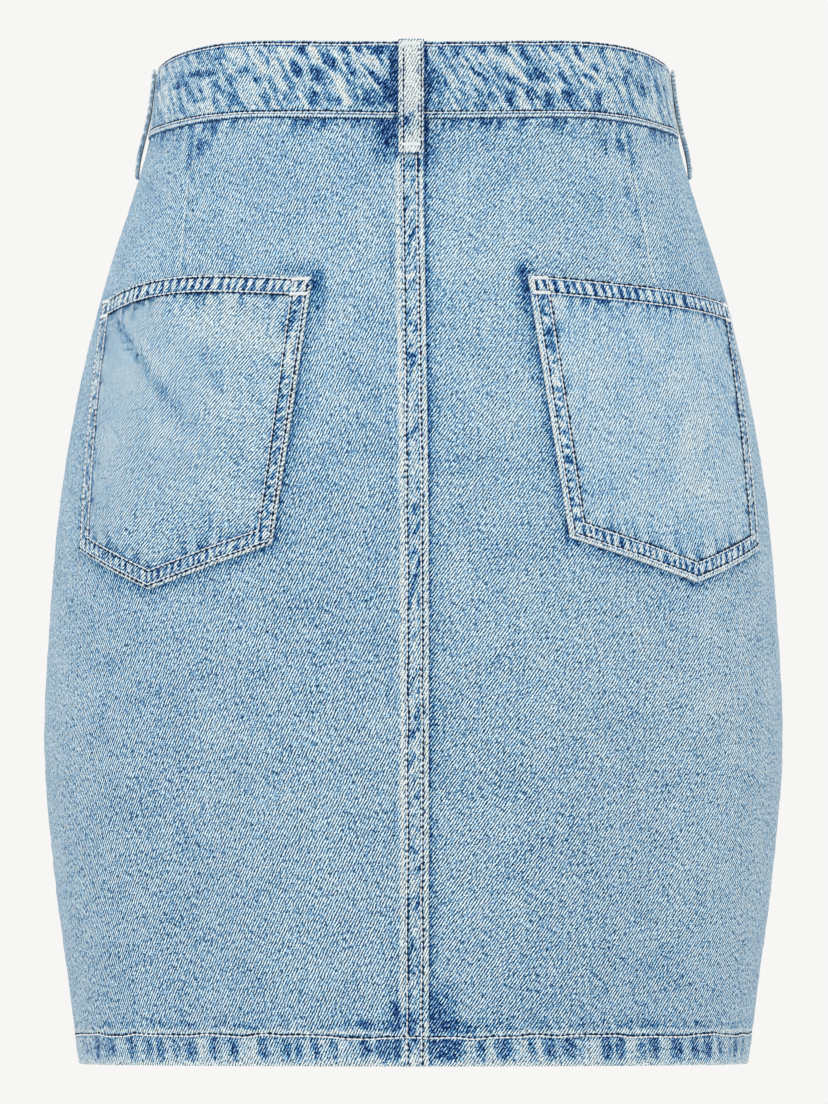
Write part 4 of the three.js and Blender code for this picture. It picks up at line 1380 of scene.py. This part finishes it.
def mark_mouth(marks, along, mouth, in_hem, seed):
    """The mouth's hem has dark bars between its two rows, and dark wedges hang below it."""
    bars = striped(along - 0.25 * mouth, mouth, 4.9, seed)
    marks.pucker(bars * bell(mouth, 5.5, 3.3) ** 0.5 * in_hem, 0.25, 0.55, 1.3)
    below = np.clip(mouth - 9.8, 0, None)
    wedges = np.clip(2.6 * soft_noise(along, 0.3 * mouth, (2.4, 3), seed + 1) - 0.2, 0, 1)
    marks.indigo_and_shade += wedges * np.exp(-below / 4.5) * (mouth > 9.8)
    marks.wear_and_light += bell(mouth, 0.3, 1.0) + 0.35 * in_hem
    marks.mottle += 0.8 * in_hem + 0.8 * np.exp(-below / 5) * (mouth > 9.8)


def mark_foot(marks, along, edge, up, seed):
    """Dark spikes rise from the sewn edges of the foot."""
    above = np.clip(up - 9.6, 0, None)
    spikes = np.clip(2.6 * soft_noise(along, 0.2 * edge, (2.4, 4), seed + 8) - 0.3, 0, 1)
    marks.indigo_and_shade += 0.9 * spikes * np.exp(-above / 5) * (above > 0) * (edge > 9.6)
    marks.mottle += 0.6 * np.exp(-above / 6) * (above > 0) + 0.12


def mark_turnings(marks, run, along, edge, mouth, at_foot, in_turning, seed):
    """The turned edges have dark bars at the foot and blobs at the sides, and the cloth pulls there."""
    bars = striped(along, edge, 4.6, seed + 6) * at_foot
    blobs = 0.5 * striped(run, edge, 4.7, seed + 9) + 1.3 * soft_noise(run, edge, (2.0, 2.4), seed + 2)
    blobs = np.clip(blobs, -0.8, 1) * ~at_foot
    marks.pucker((bars + blobs) * bell(edge, 5.8, 3.0) * in_turning, 0.25, 0.5, 1.25)
    pulls = puckers(run, np.clip(edge - 9.6, 0, None), 7, 4.5, 0.2, seed + 3)
    marks.pucker(pulls * smooth((edge - 9.2) / 1.0) * smooth((mouth - 12) / 4), 0.25, 0.3, 0.4)
    marks.wear_and_light += bell(edge, 0.5, 1.3) + 0.25 * in_turning
    marks.mottle += in_turning


def pocket_marks(shape, u, v, seed):
    """All that the sewing and the wash did to a pocket, with painted shade in its creases and broad
    painted light and shade, and its distances from the edge and from the mouth, and how far each
    place is double cloth."""
    s, z = shape.at(u, v)
    along = u * shape.width
    mouth = v * shape.depth(u)
    from_side = np.minimum(u, 1 - u) * shape.width
    from_foot = (1 - v) * shape.depth(u)
    up = from_foot * FOOT_SLANT
    edge = np.minimum(from_side, up)
    run = np.where(from_foot < from_side, along, mouth)
    in_hem = smooth(POCKET_HEM_ROWS[1] + 0.6 - mouth)
    near_edge = smooth(POCKET_ROWS[1] + 0.6 - edge)
    marks = Marks(s.shape)
    mark_mouth(marks, along, mouth, in_hem, seed)
    mark_foot(marks, along, edge, up, seed)
    mark_turnings(marks, run, along, edge, mouth, up < from_side, near_edge * (1 - in_hem), seed)
    mark_creases(marks, s, z)
    paint_broad_light_and_shade(marks, s, z)
    for row in POCKET_ROWS:
        marks.stitch_groove(np.where(mouth > 9, edge - row, 9.0), 0.55)
    for row in POCKET_HEM_ROWS:
        marks.stitch_groove(mouth - row, 0.7)
    return marks, edge, mouth, np.maximum(in_hem, near_edge)


# %% [markdown]
# The pocket's walls
#
# The pocket lies on its panel as one more wall, eased down at its edges.


# %% Pocket walls
def pocket(side, seed):
    """A patch pocket, thicker where its edges are turned and hemmed."""
    shape = Pocket(side)
    width = shape.width
    across = graded(0, (12, 0.75), (width - 12, 0.95), (width, 0.75)) / width
    down = graded(0, (18, 0.75), (shape.height - 18, 2.4), (shape.height, 0.75)) / shape.height
    u, v = np.meshgrid(across, down)
    s, z = shape.at(u, v)
    marks, edge, mouth, double = pocket_marks(shape, u, v, seed)
    ease = np.minimum(round_edge(edge, 0.9, 0.7) + round_edge(mouth, 0.9, 0.7), 0.9)
    proud = LAID_GAP + CLOTH + POCKET_EDGE_PROUD * double
    outer = cloth("back", s, z, proud + marks.lift - ease)
    inner = cloth("back", s, z, LAID_GAP + 0 * s)
    flat = on_grain(s, z + 700 + seed, POCKET_RIBS[side])
    mesh = wall(f"cloth_pocket_{side}", outer, inner, flat, marks)
    finishes = [pocket_denim[side], inside_denim]
    piece = place(f"cloth_pocket_{side}", mesh, finishes, f"pocket_{side}")
    cut = (width * MM, float(shape.depth(shape.tip_at)) * MM)
    area = min(flat_area(mesh), cut[0] * cut[1])
    print("pocket", side, "flat", [round(v, 3) for v in cut], "m")
    return shape


pockets = {"left": pocket("left", 600), "right": pocket("right", 620)}

# %% [markdown]
# Belt loops
#
# A belt loop is a narrow folded strip, sewn down at both ends. It stands off the band, and its edges
# and its top rub against everything, so it is the palest piece of all.

# %% Belt loops
LOOP_WIDTH = 13.0
LOOP_THICK = 2.0
LOOP_LENGTH = 60.0
SIDE_LOOP_LENGTH = 56.5
SIDE_LOOP_BOW = 1.8
SIDE_LOOP_SKEW = 2.4
LOOP_BOW = 2.0
LOOP_RISE = 0.6
LOOP_ROWS = (-4.4, 4.4)
FRONT_LOOP_S = 72.0
CUT_WIDER = 1.1  # a loop was cut a little wider and longer than it shows
CUT_LONGER = 1.02


def loop_middle(where, z):
    """The face a loop lies on, and the place along the cloth of its middle at a height."""
    toward = -1 if where.endswith("left") else 1
    if where.startswith("side"):
        return "back", toward * (side_length("back", z) - GAP / 2)
    if where == "back":
        return "back", BACK_LOOP_S + 0 * z
    return "front", toward * FRONT_LOOP_S + 0 * z


def loop_length(where):
    """The side loops are a little shorter than the others."""
    return SIDE_LOOP_LENGTH if where.startswith("side") else LOOP_LENGTH


def loop_place(where, down):
    """A loop's height and inner offset, at a distance down from its top."""
    face, at_waist = loop_middle(where, 0.0)
    top = band_top(face, at_waist) + LOOP_RISE
    share = down / loop_length(where)
    foot = LAID_GAP + (LAP_LIFT if where == "back" else 0.0)
    bow = LOOP_BOW * np.sin(np.pi * share)
    if where.startswith("side"):
        bow = SIDE_LOOP_BOW * np.sin(np.pi * share**SIDE_LOOP_SKEW)
    return top - down, (BAND_PROUD + LAID_GAP) * (1 - share) + foot * share + bow


def loop_marks(where, across, down, z, edge, end, seed):
    """A loop is rubbed all over, and keeps its indigo where it bends over the band's seam. Its ends and
    long edges are outlined with painted shade.
    """
    marks = Marks(z.shape)
    marks.wear_and_light += 0.55 + 0.35 * bell(edge, 0.5, 0.9) + 0.3 * bell(end, 1.0, 1.5)
    fleck = np.clip(1.6 * soft_noise(across + 0 * z, z, (2.4, 4), seed), -1, 1)
    marks.pucker(fleck * bell(edge, 2.1, 1.1), 0.08, 0.1, 1.1)
    over_seam = bell(down, 44, 5.5) * bell(across, -1, 6.5)
    marks.indigo_and_shade += over_seam * (0.8 + 0.7 * soft_noise(across + 0 * z, z, (2.2, 2.4), seed + 1))
    # Painted shade outlining the loop's ends and long edges
    marks.indigo_and_shade += 1.3 * bell(end, 0, 0.45) + 1.5 * bell(edge, 0, 0.35)
    if not where.startswith("side"):
        for row in LOOP_ROWS:
            marks.stitch_groove(across - row + 0 * z, 0.3)
    return marks


def belt_loop(where, seed):
    """A folded strip with rounded long edges, bowed between its two ends."""
    half = LOOP_WIDTH / 2
    length = loop_length(where)
    across = graded(-half, (-half + 2, 0.35), (half - 2, 0.75), (half, 0.35))
    down = graded(0, (4, 0.4), (length - 4, 0.9), (length, 0.4))[:, None]
    z, off = loop_place(where, down)
    z = np.broadcast_to(z, (len(down), len(across)))
    face, middle = loop_middle(where, z)
    s = middle + across
    edge = half - np.abs(across) + 0 * z
    end = np.minimum(down, length - down) + 0 * z
    marks = loop_marks(where, across, down, z, edge, end, seed)
    ease = np.minimum(round_edge(edge, 1.0, 0.95) + round_edge(end, 0.9, 0.6), 0.97)
    outer = cloth(face, s, z, off + LOOP_THICK + marks.lift - ease)
    inner = cloth(face, s, z, off + np.minimum(ease, 0.9))
    mesh = wall("cloth_loop_" + where, outer, inner, (s + 400, z + seed), marks)
    finishes = [side_loop_denim if where.startswith("side") else loop_denim] * 2
    piece = place("cloth_loop_" + where, mesh, finishes, "loop_" + where)
    cut = (LOOP_WIDTH * MM * CUT_WIDER, length * MM * CUT_LONGER)
    area = min(flat_area(mesh), cut[0] * cut[1])


LOOPS = ("back", "side_left", "side_right", "front_left", "front_right")
for number, where in enumerate(LOOPS):
    belt_loop(where, 800 + 11 * number)
print(len(LOOPS), "belt loops,", LOOP_WIDTH, "by", LOOP_LENGTH, "mm")

# %% [markdown]
# Stitches
#
# Every sewn row is a chain of short, slightly arched lengths of thread that dive into the cloth at
# both ends. Between them the needle holes are dark with kept indigo and painted shade. One small
# capsule is worked out once and then copied to all the places at once, as one array.

# %% Stitch shapes
STITCH_PITCH = 3.0
THREAD_RADIUS = 0.36
HOLE_RADIUS = 0.7
THREAD_SIDES = 6
HOLE_SIDES = 4
RING_PLACES = np.array([-1.0, -0.55, 0.55, 1.0])
RING_GIRTHS = np.array([0.45, 1.0, 1.0, 0.45])
PITCH_JITTER = 0.12  # how far a stitch may lie from its even place, mm
HOLE_JITTER = 0.25
HOLE_DEPTH = 0.11  # how far a needle hole lies below its row, mm
LOOK_AHEAD = 0.6  # a path's direction is taken this far to either side, mm


def capsule_quads(sides, count):
    """The quads of many capsules: three bands between the four rings, and a fan on each end."""
    ring = np.arange(sides)
    following = (ring + 1) % sides
    tube = np.stack([ring, following, following + sides, ring + sides], -1)
    fan = np.arange(1, sides - 2, 2)
    foot = np.stack([fan + 2, fan + 1, fan, 0 * fan], -1)
    head = np.stack([0 * fan, fan, fan + 1, fan + 2], -1) + 3 * sides
    quads = np.concatenate([tube, tube + sides, tube + 2 * sides, foot, head])
    first_points = 4 * sides * np.arange(count)
    return (quads[None] + first_points[:, None, None]).reshape(-1, 4)


def capsule_mesh(name, middles, along, out, half, radius, arch, flatness=1.0, sides=THREAD_SIDES):
    """Joined capsules. Each has four rings of points round its length: thin at the ends and full
    between. arch lowers its ends, and flatness squeezes it towards the cloth."""
    turn = np.arange(sides) * 2 * np.pi / sides
    x = np.repeat(RING_PLACES, sides)
    y = np.outer(RING_GIRTHS, np.cos(turn)).ravel()
    w = np.outer(RING_GIRTHS, np.sin(turn)).ravel() * flatness
    side = np.cross(out, along)
    half = np.broadcast_to(half, len(middles))[:, None, None]
    radius = np.broadcast_to(radius, len(middles))[:, None, None]
    points = (
        middles[:, None]
        + along[:, None] * half * x[:, None]
        + side[:, None] * radius * y[:, None]
        + out[:, None] * (radius * w[:, None] - arch * (x**2)[:, None])
    )
    return new_mesh(name, points.reshape(-1, 3), capsule_quads(sides, len(middles)))


def between(values, run, at):
    """Values of a path at distances along it: straight between its known points."""
    return np.stack([np.interp(at, run, values[:, k]) for k in range(3)], -1)


def along_path(face, s, z, out, pitch, seed):
    """Places a pitch apart along a path on the cloth, with the direction of the path and the normal.
    The path is measured by adding up its short steps."""
    s, z, out = np.broadcast_arrays(*(np.asarray(v, float) for v in (s, z, out)))
    points = cloth(face, s, z, out)
    run = np.concatenate([[0], np.cumsum(np.linalg.norm(np.diff(points, axis=0), axis=1))])
    count = max(1, int(run[-1] / pitch))
    jitter = np.random.default_rng(seed).uniform(-PITCH_JITTER, PITCH_JITTER, count)
    at = (np.arange(count) + 0.5) * run[-1] / count + jitter
    ahead = between(points, run, at + LOOK_AHEAD) - between(points, run, at - LOOK_AHEAD)
    ahead /= np.linalg.norm(ahead, axis=1, keepdims=True)
    normal = between(outward(face, s, z), run, at)
    normal -= ahead * (normal * ahead).sum(1, keepdims=True)
    normal /= np.linalg.norm(normal, axis=1, keepdims=True)
    return between(points, run, at), ahead, normal


# %% [markdown]
# A row of stitches
#
# A row is laid along a path by its length, with a stitch every 3 mm and a needle hole between two.


# %% Sewing
TACK_LEAN = 0.12  # a bar tack's threads lean a little to the right as they rise


class Sewing:
    """Gathers the stitches and needle holes of many rows, to be made into two meshes."""

    def __init__(self):
        self.thread = []
        self.holes = []

    def row(self, face, s, z, out, seed, pitch=STITCH_PITCH, aside=0.55, thick=1.0):
        """A row of stitches along a path. Its needle holes lie aside of it, to the left as it runs."""
        middles, ahead, normal = along_path(face, s, z, out, pitch, seed)
        girth = np.full(len(middles), THREAD_RADIUS * thick)
        self.thread.append((middles, ahead, normal, 0 * girth + pitch * 0.5, girth))
        rng = np.random.default_rng(seed + 1)
        aside = aside + rng.uniform(-HOLE_JITTER, HOLE_JITTER, (len(middles), 1))
        beside = np.cross(normal, ahead) * aside
        scale = rng.uniform(0.7, 1.3, len(middles))
        at = middles + ahead * pitch / 2 + beside - normal * HOLE_DEPTH
        self.holes.append((at, ahead, normal, scale))

    def bar_tack(self, face, s, z, out, wide, high, count):
        """A bar tack: many short threads side by side across a small bar."""
        places = s + np.linspace(-wide / 2, wide / 2, count)
        points = cloth(face, places, z + 0 * places, out + 0 * places)
        normal = outward(face, places, z + 0 * places)
        up = np.array([TACK_LEAN, 0.0, 1.0]) - normal * normal[:, 2:]
        up -= normal * (up * normal).sum(1, keepdims=True)
        up /= np.linalg.norm(up, axis=1, keepdims=True)
        self.thread.append((points, up, normal, np.full(count, high / 2), np.full(count, THREAD_RADIUS)))


sewing = {"panels": Sewing(), "band": Sewing(), "pockets": Sewing(), "loops": Sewing()}
print("stitches every", STITCH_PITCH, "mm")

# %% [markdown]
# Rows of stitches
#
# Each seam now gets its rows: a path of places s and z, and how far out of the cloth it runs. A sewn
# row is never quite straight, so a little slow noise is added to it.

# %% Rows of stitches
ON_CLOTH = 0.08  # a thread's middle lies this far out of the cloth it is sewn to
FLY_ROWS = (34.0, 40.5)  # mm from the centre front
FLY_FOOT = -158.0
FLY_TURN = 30.0
POCKET_OUT = LAID_GAP + CLOTH + POCKET_EDGE_PROUD + ON_CLOTH
TACK_FROM_CORNER = 5.6


def wavy(length, size, seed):
    """Slow noise of a few tenths of a millimetre, for a sewn row of so many places."""
    places = np.arange(length, dtype=float)
    return size * soft_noise(places, 0 * places, (9, 9), seed)


def line(start, end, count=240):
    """Evenly spaced numbers between two ends."""
    return np.linspace(start, end, count)


def sew_panels(face):
    """The hem's one row, and the two rows of the lapped seam."""
    hem_side = float(side_length(face, HEM_LINE)) - 1
    s = line(-hem_side, hem_side, 400)
    lapped = (s > LAP[face][0]) & (s < LAP[face][1])
    z = hem_line(face, s) + wavy(400, 0.8, 61)
    sewing["panels"].row(face, s, z, ON_CLOTH + LAP_LIFT * lapped, 11, thick=1.2)
    z = line(-24, HEM + 2)
    for number, row in enumerate(LAP_ROWS[face]):
        s = row + seam_drift(face, z) + wavy(240, 0.35, 70 + number)
        sewing["panels"].row(face, s, z, ON_CLOTH + LAP_LIFT, 20 + number, aside=0.45)


def sew_band(face):
    """A row along each edge of the band. In front it is sewn in three pieces: before the underlap,
    on the overlap, and beyond it."""
    side = float(side_length(face, 0.0)) - 1
    pieces = [(-side, side, 0)]
    if face == "front":
        pieces = [(-side, -1 - BAND_UNDERLAP - BAND_RAMP, 0)]
        pieces += [(-BAND_UNDERLAP, BAND_END - 1.5, BAND_OVER), (BAND_END + 2, side, 0)]
    for start, end, over in pieces:
        s = line(start, end)
        top = band_top(face, s) - BAND_TOP_ROW
        foot = band_foot(face, s) + BAND_FOOT_ROW
        out = BAND_PROUD + over + ON_CLOTH
        sewing["band"].row(face, s, top + wavy(240, 0.3, 80), out, 31)
        sewing["band"].row(face, s, foot + wavy(240, 0.3, 81), out, 32)


def sew_fly():
    """Two rows that run down from the band and curve in to the centre, and a bar tack at their foot."""
    turn = line(0, np.pi / 2, 60)
    for number, away in enumerate(FLY_ROWS):
        bend = FLY_TURN + away - FLY_ROWS[0]
        s = np.concatenate([np.full(120, -away), -away + bend - bend * np.cos(turn)])
        down = line(-22, FLY_FOOT + FLY_TURN, 120)
        z = np.concatenate([down, FLY_FOOT + FLY_TURN - bend * np.sin(turn)])
        sewing["panels"].row("front", s, z, ON_CLOTH, 40 + number)
    sewing["panels"].bar_tack("front", -6, FLY_FOOT - 1, ON_CLOTH + LAP_LIFT, 4, 9, 9)


def sew_pocket(shape):
    """Two rows round the pocket's sides and foot, two along its mouth, and bar tacks at its corners."""
    for number, away in enumerate(POCKET_ROWS):
        near = away / shape.width
        low = 1 - away / shape.depth(np.array([near, 1 - near]))
        down = line(0.015, low[0], 120)
        across = line(near, 1 - near, 160)
        foot = 1 - away / (FOOT_SLANT * shape.depth(across))
        up = line(low[1], 0.015, 120)
        u = np.concatenate([0 * down + near, across, 0 * up + 1 - near])
        v = np.concatenate([down, foot, up])
        sewing["pockets"].row("back", *shape.at(u, v), POCKET_OUT, 50 + number)
    u = line(0.008, 0.992)
    for number, away in enumerate(POCKET_HEM_ROWS):
        sewing["pockets"].row("back", *shape.at(u, away / shape.depth(u)), POCKET_OUT, 60 + number)
    corner = TACK_FROM_CORNER / shape.width
    for u in (corner, 1 - corner):
        for away in POCKET_HEM_ROWS:
            s, z = shape.at(u, away / shape.depth(u))
            sewing["pockets"].bar_tack("back", float(s), float(z), POCKET_OUT + 0.15, 8.5, 1.9, 17)


def sew_loop(where, seed):
    """Two rows along a belt loop, and a bar tack at each end."""
    length = loop_length(where)
    z, off = loop_place(where, line(3.4, length - 3, 90))
    face, middle = loop_middle(where, z)
    # Seen edge on, full stitches look like beads
    thick, sunk = (0.6, 0.19) if where.startswith("side") else (1.0, 0.05)
    for row in LOOP_ROWS:
        out = off + LOOP_THICK - sunk
        sewing["loops"].row(face, middle + row, z, out, seed, pitch=2.6, thick=thick)
    for down in (2.6, length - 4.6):
        z, off = loop_place(where, down)
        face, middle = loop_middle(where, z)
        out = float(off) + LOOP_THICK + 0.1
        sewing["loops"].bar_tack(face, float(middle), float(z), out, 8.6, 1.9, 17)


for face in ("back", "front"):
    sew_panels(face)
    sew_band(face)
sew_fly()
for shape in pockets.values():
    sew_pocket(shape)
for number, where in enumerate(LOOPS):
    sew_loop(where, 90 + number)

# %% [markdown]
# Thread and needle holes
#
# Each group of rows becomes two pieces, one of thread and one of needle holes, so the many small
# shapes cost little.

# %% Thread and needle holes as meshes
# Polyester core thread, white, softened by the wash: smooth, with a faint gloss
THREAD = {"Base_Color": linear("#eef2f4"), "Roughness": 0.6, "Specular_IOR_Level": 0.3}
# Indigo that the wash never reached, down in the needle holes, made darker as painted shade
HOLE_INDIGO_AND_SHADE = {"Base_Color": linear("#16304f"), "Roughness": 0.95, "Specular_IOR_Level": 0.1}
STITCH_ARCH = 0.22
HOLE_FLATNESS = 0.35
thread_white, _, _ = new_material("white_sewing_thread", **THREAD)
hole_indigo_and_shade, _, _ = new_material("hole_indigo_and_painted_shade", **HOLE_INDIGO_AND_SHADE)

for where, rows in sewing.items():
    middles, ahead, normal, half, girth = (np.concatenate(part) for part in zip(*rows.thread))
    mesh = capsule_mesh(f"thread_{where}", middles, ahead, normal, half, girth, STITCH_ARCH)
    place(f"thread_{where}", mesh, [thread_white])
    print(where, len(middles), "stitches")
    spots, ahead, normal, scale = (np.concatenate(part) for part in zip(*rows.holes))
    wide = HOLE_RADIUS * scale
    mesh = capsule_mesh(
        f"holes_{where}", spots, ahead, normal, 1.5 * wide, wide, 0, HOLE_FLATNESS, HOLE_SIDES
    )
    place(f"holes_{where}", mesh, [hole_indigo_and_shade])

# %% [markdown]
# The button and the zip
#
# The shank button is a pressed metal cap with a raised rim. It is a profile turned round its axis.
# Behind the fly is the closed zip: two rows of small metal teeth that lock into each other.

# %% Button
# Aged brass, pressed and tumbled: a dull grey-brown metal with worn, brighter high places
antique, metal_tree, metal_shader = new_material("antique_pressed_brass", Metallic=1.0)
metal_place = add_node(metal_tree, "TexCoord").outputs["Object"]
tarnish = add_node(metal_tree, "TexNoise", {"Vector": metal_place, "Scale": 420.0, "Detail": 4.0})
aged = add_node(metal_tree, "ValToRGB", {"Fac": tarnish.outputs[0]})
fill_ramp(aged.color_ramp, [(0.35, "#6f6a61"), (0.7, "#b3ab9b")])
dull = add_node(metal_tree, "MapRange", {"Value": tarnish.outputs[0], "To Min": 0.28, "To Max": 0.5})
pits = add_node(metal_tree, "Bump", {"Height": tarnish.outputs[0], "Strength": 0.3, "Distance": 0.0001})
metal_tree.links.new(aged.outputs["Color"], metal_shader.inputs["Base Color"])
metal_tree.links.new(dull.outputs[0], metal_shader.inputs["Roughness"])
metal_tree.links.new(pits.outputs[0], metal_shader.inputs["Normal"])

CAP_FOOT = BAND_PROUD + BAND_OVER + GAP
NECK_FOOT = BAND_PROUD + GAP - CAP_FOOT
# Radius and height above the cap's foot, mm, from the neck round the rim to the middle
BUTTON_PROFILE = np.array(
    [
        [0.0, NECK_FOOT],
        [1.5, NECK_FOOT],
        [1.6, 0.0],
        [7.6, 0.05],
        [8.2, 0.3],
        [8.5, 0.85],
        [8.4, 1.6],
        [7.9, 2.3],
        [7.2, 2.65],
        [6.6, 2.6],
        [6.1, 2.25],
        [5.4, 2.15],
        [3.6, 2.5],
        [1.8, 2.72],
        [0.0, 2.78],
    ]
)
BUTTON_SIDES = 72
AXIS_RADIUS = 0.02  # a ring this small closes a profile on its axis


def turned(profile, sides):
    """Points and quads of a profile turned round its axis. Its two ends are rings too small to see."""
    turn = np.arange(sides) * 2 * np.pi / sides
    radius = np.maximum(profile[:, 0], AXIS_RADIUS)
    ring = np.stack([np.outer(radius, np.cos(turn)), np.outer(radius, np.sin(turn))], -1)
    height = np.broadcast_to(profile[:, 1][:, None, None], (*ring.shape[:2], 1))
    points = np.concatenate([ring, height], -1).reshape(-1, 3)
    index = np.arange(len(profile) * sides).reshape(len(profile), sides)
    beside = np.roll(index, -1, axis=1)
    quads = np.stack([index[:-1], beside[:-1], beside[1:], index[1:]], -1).reshape(-1, 4)
    first = index[0]
    last = index[-1]
    pairs = np.arange(sides // 2 - 1)
    foot = np.stack([first[pairs], first[-pairs - 1], first[-pairs - 2], first[pairs + 1]], -1)
    head = np.stack([last[pairs], last[pairs + 1], last[-pairs - 2], last[-pairs - 1]], -1)
    return points, np.concatenate([quads, foot, head])


cap_points, cap_quads = turned(BUTTON_PROFILE, BUTTON_SIDES)
button_mesh = new_mesh("button", stand(cap_points, "front", BUTTON_S, 0.0, CAP_FOOT), cap_quads)
button_mesh.set_sharp_from_angle(angle=math.radians(50))
place("pressed_button", button_mesh, [antique], "waist_button")
print("button", len(cap_points), "points")

# %% Zip
# Woven polyester tape: fine crosswise ribs
TAPE_DARK = "#2c4667"
TAPE_PALE = "#5b789b"
tape, tape_tree, tape_shader = new_material("woven_zip_tape", Roughness=0.85)
tape_place = add_node(tape_tree, "TexCoord").outputs["Object"]
weave = add_node(tape_tree, "TexWave", {"Vector": tape_place, "Scale": 260.0}, bands_direction="Z")
tape_colours = add_node(tape_tree, "ValToRGB", {"Fac": weave.outputs["Fac"]})
fill_ramp(tape_colours.color_ramp, [(0.0, TAPE_DARK), (1.0, TAPE_PALE)])
tape_tree.links.new(tape_colours.outputs["Color"], tape_shader.inputs["Base Color"])
zip_node = bpy.data.objects["zip"]
zip_node.data.materials.clear()
zip_node.data.materials.append(tape)

TAPE_THICK = 1.4
CHAIN_PROUD = 1.2
TOOTH_PROUD = 0.25  # a tooth's middle stands this far out of the chain, towards the wearer
TOOTH_TOP = -26.0
TOOTH_FOOT = -146.0
TOOTH_PITCH = 1.6
TOOTH_ASIDE = 0.55
TOOTH_HALF = 2.1
TOOTH_RADIUS = 0.62

tooth_z = np.arange(TOOTH_TOP, TOOTH_FOOT, -TOOTH_PITCH)
tooth_s = np.where(np.arange(len(tooth_z)) % 2 == 0, -TOOTH_ASIDE, TOOTH_ASIDE)
tooth_in = CLOTH + LAID_GAP + TAPE_THICK + CHAIN_PROUD + TOOTH_PROUD
tooth_at = cloth("front", tooth_s, tooth_z, 0 * tooth_s - tooth_in)
tooth_normal = outward("front", tooth_s, tooth_z)
tooth_along = np.cross(np.array([0.0, 0.0, 1.0]), tooth_normal)
tooth_along /= np.linalg.norm(tooth_along, axis=1, keepdims=True)
teeth = capsule_mesh(
    "zip_teeth", tooth_at, tooth_along, tooth_normal, TOOTH_HALF, TOOTH_RADIUS, 0.0, 0.9
)
place("zip_teeth", teeth, [antique])
print(len(tooth_z), "zip teeth")

# %% [markdown]
# Triangles of the finished skirt
#
# The triangles of every mesh are counted, and their sum and the largest mesh are printed. Cloth
# may stand a little proud of the CAD model, but no more.

# %% Finish
triangles = {}
for item in bpy.data.objects:
    if item.type == "MESH":
        triangles[item.name] = sum(len(polygon.vertices) - 2 for polygon in item.data.polygons)
most = max(triangles, key=triangles.get)
print("triangles", sum(triangles.values()), "of which", most, "has", triangles[most])
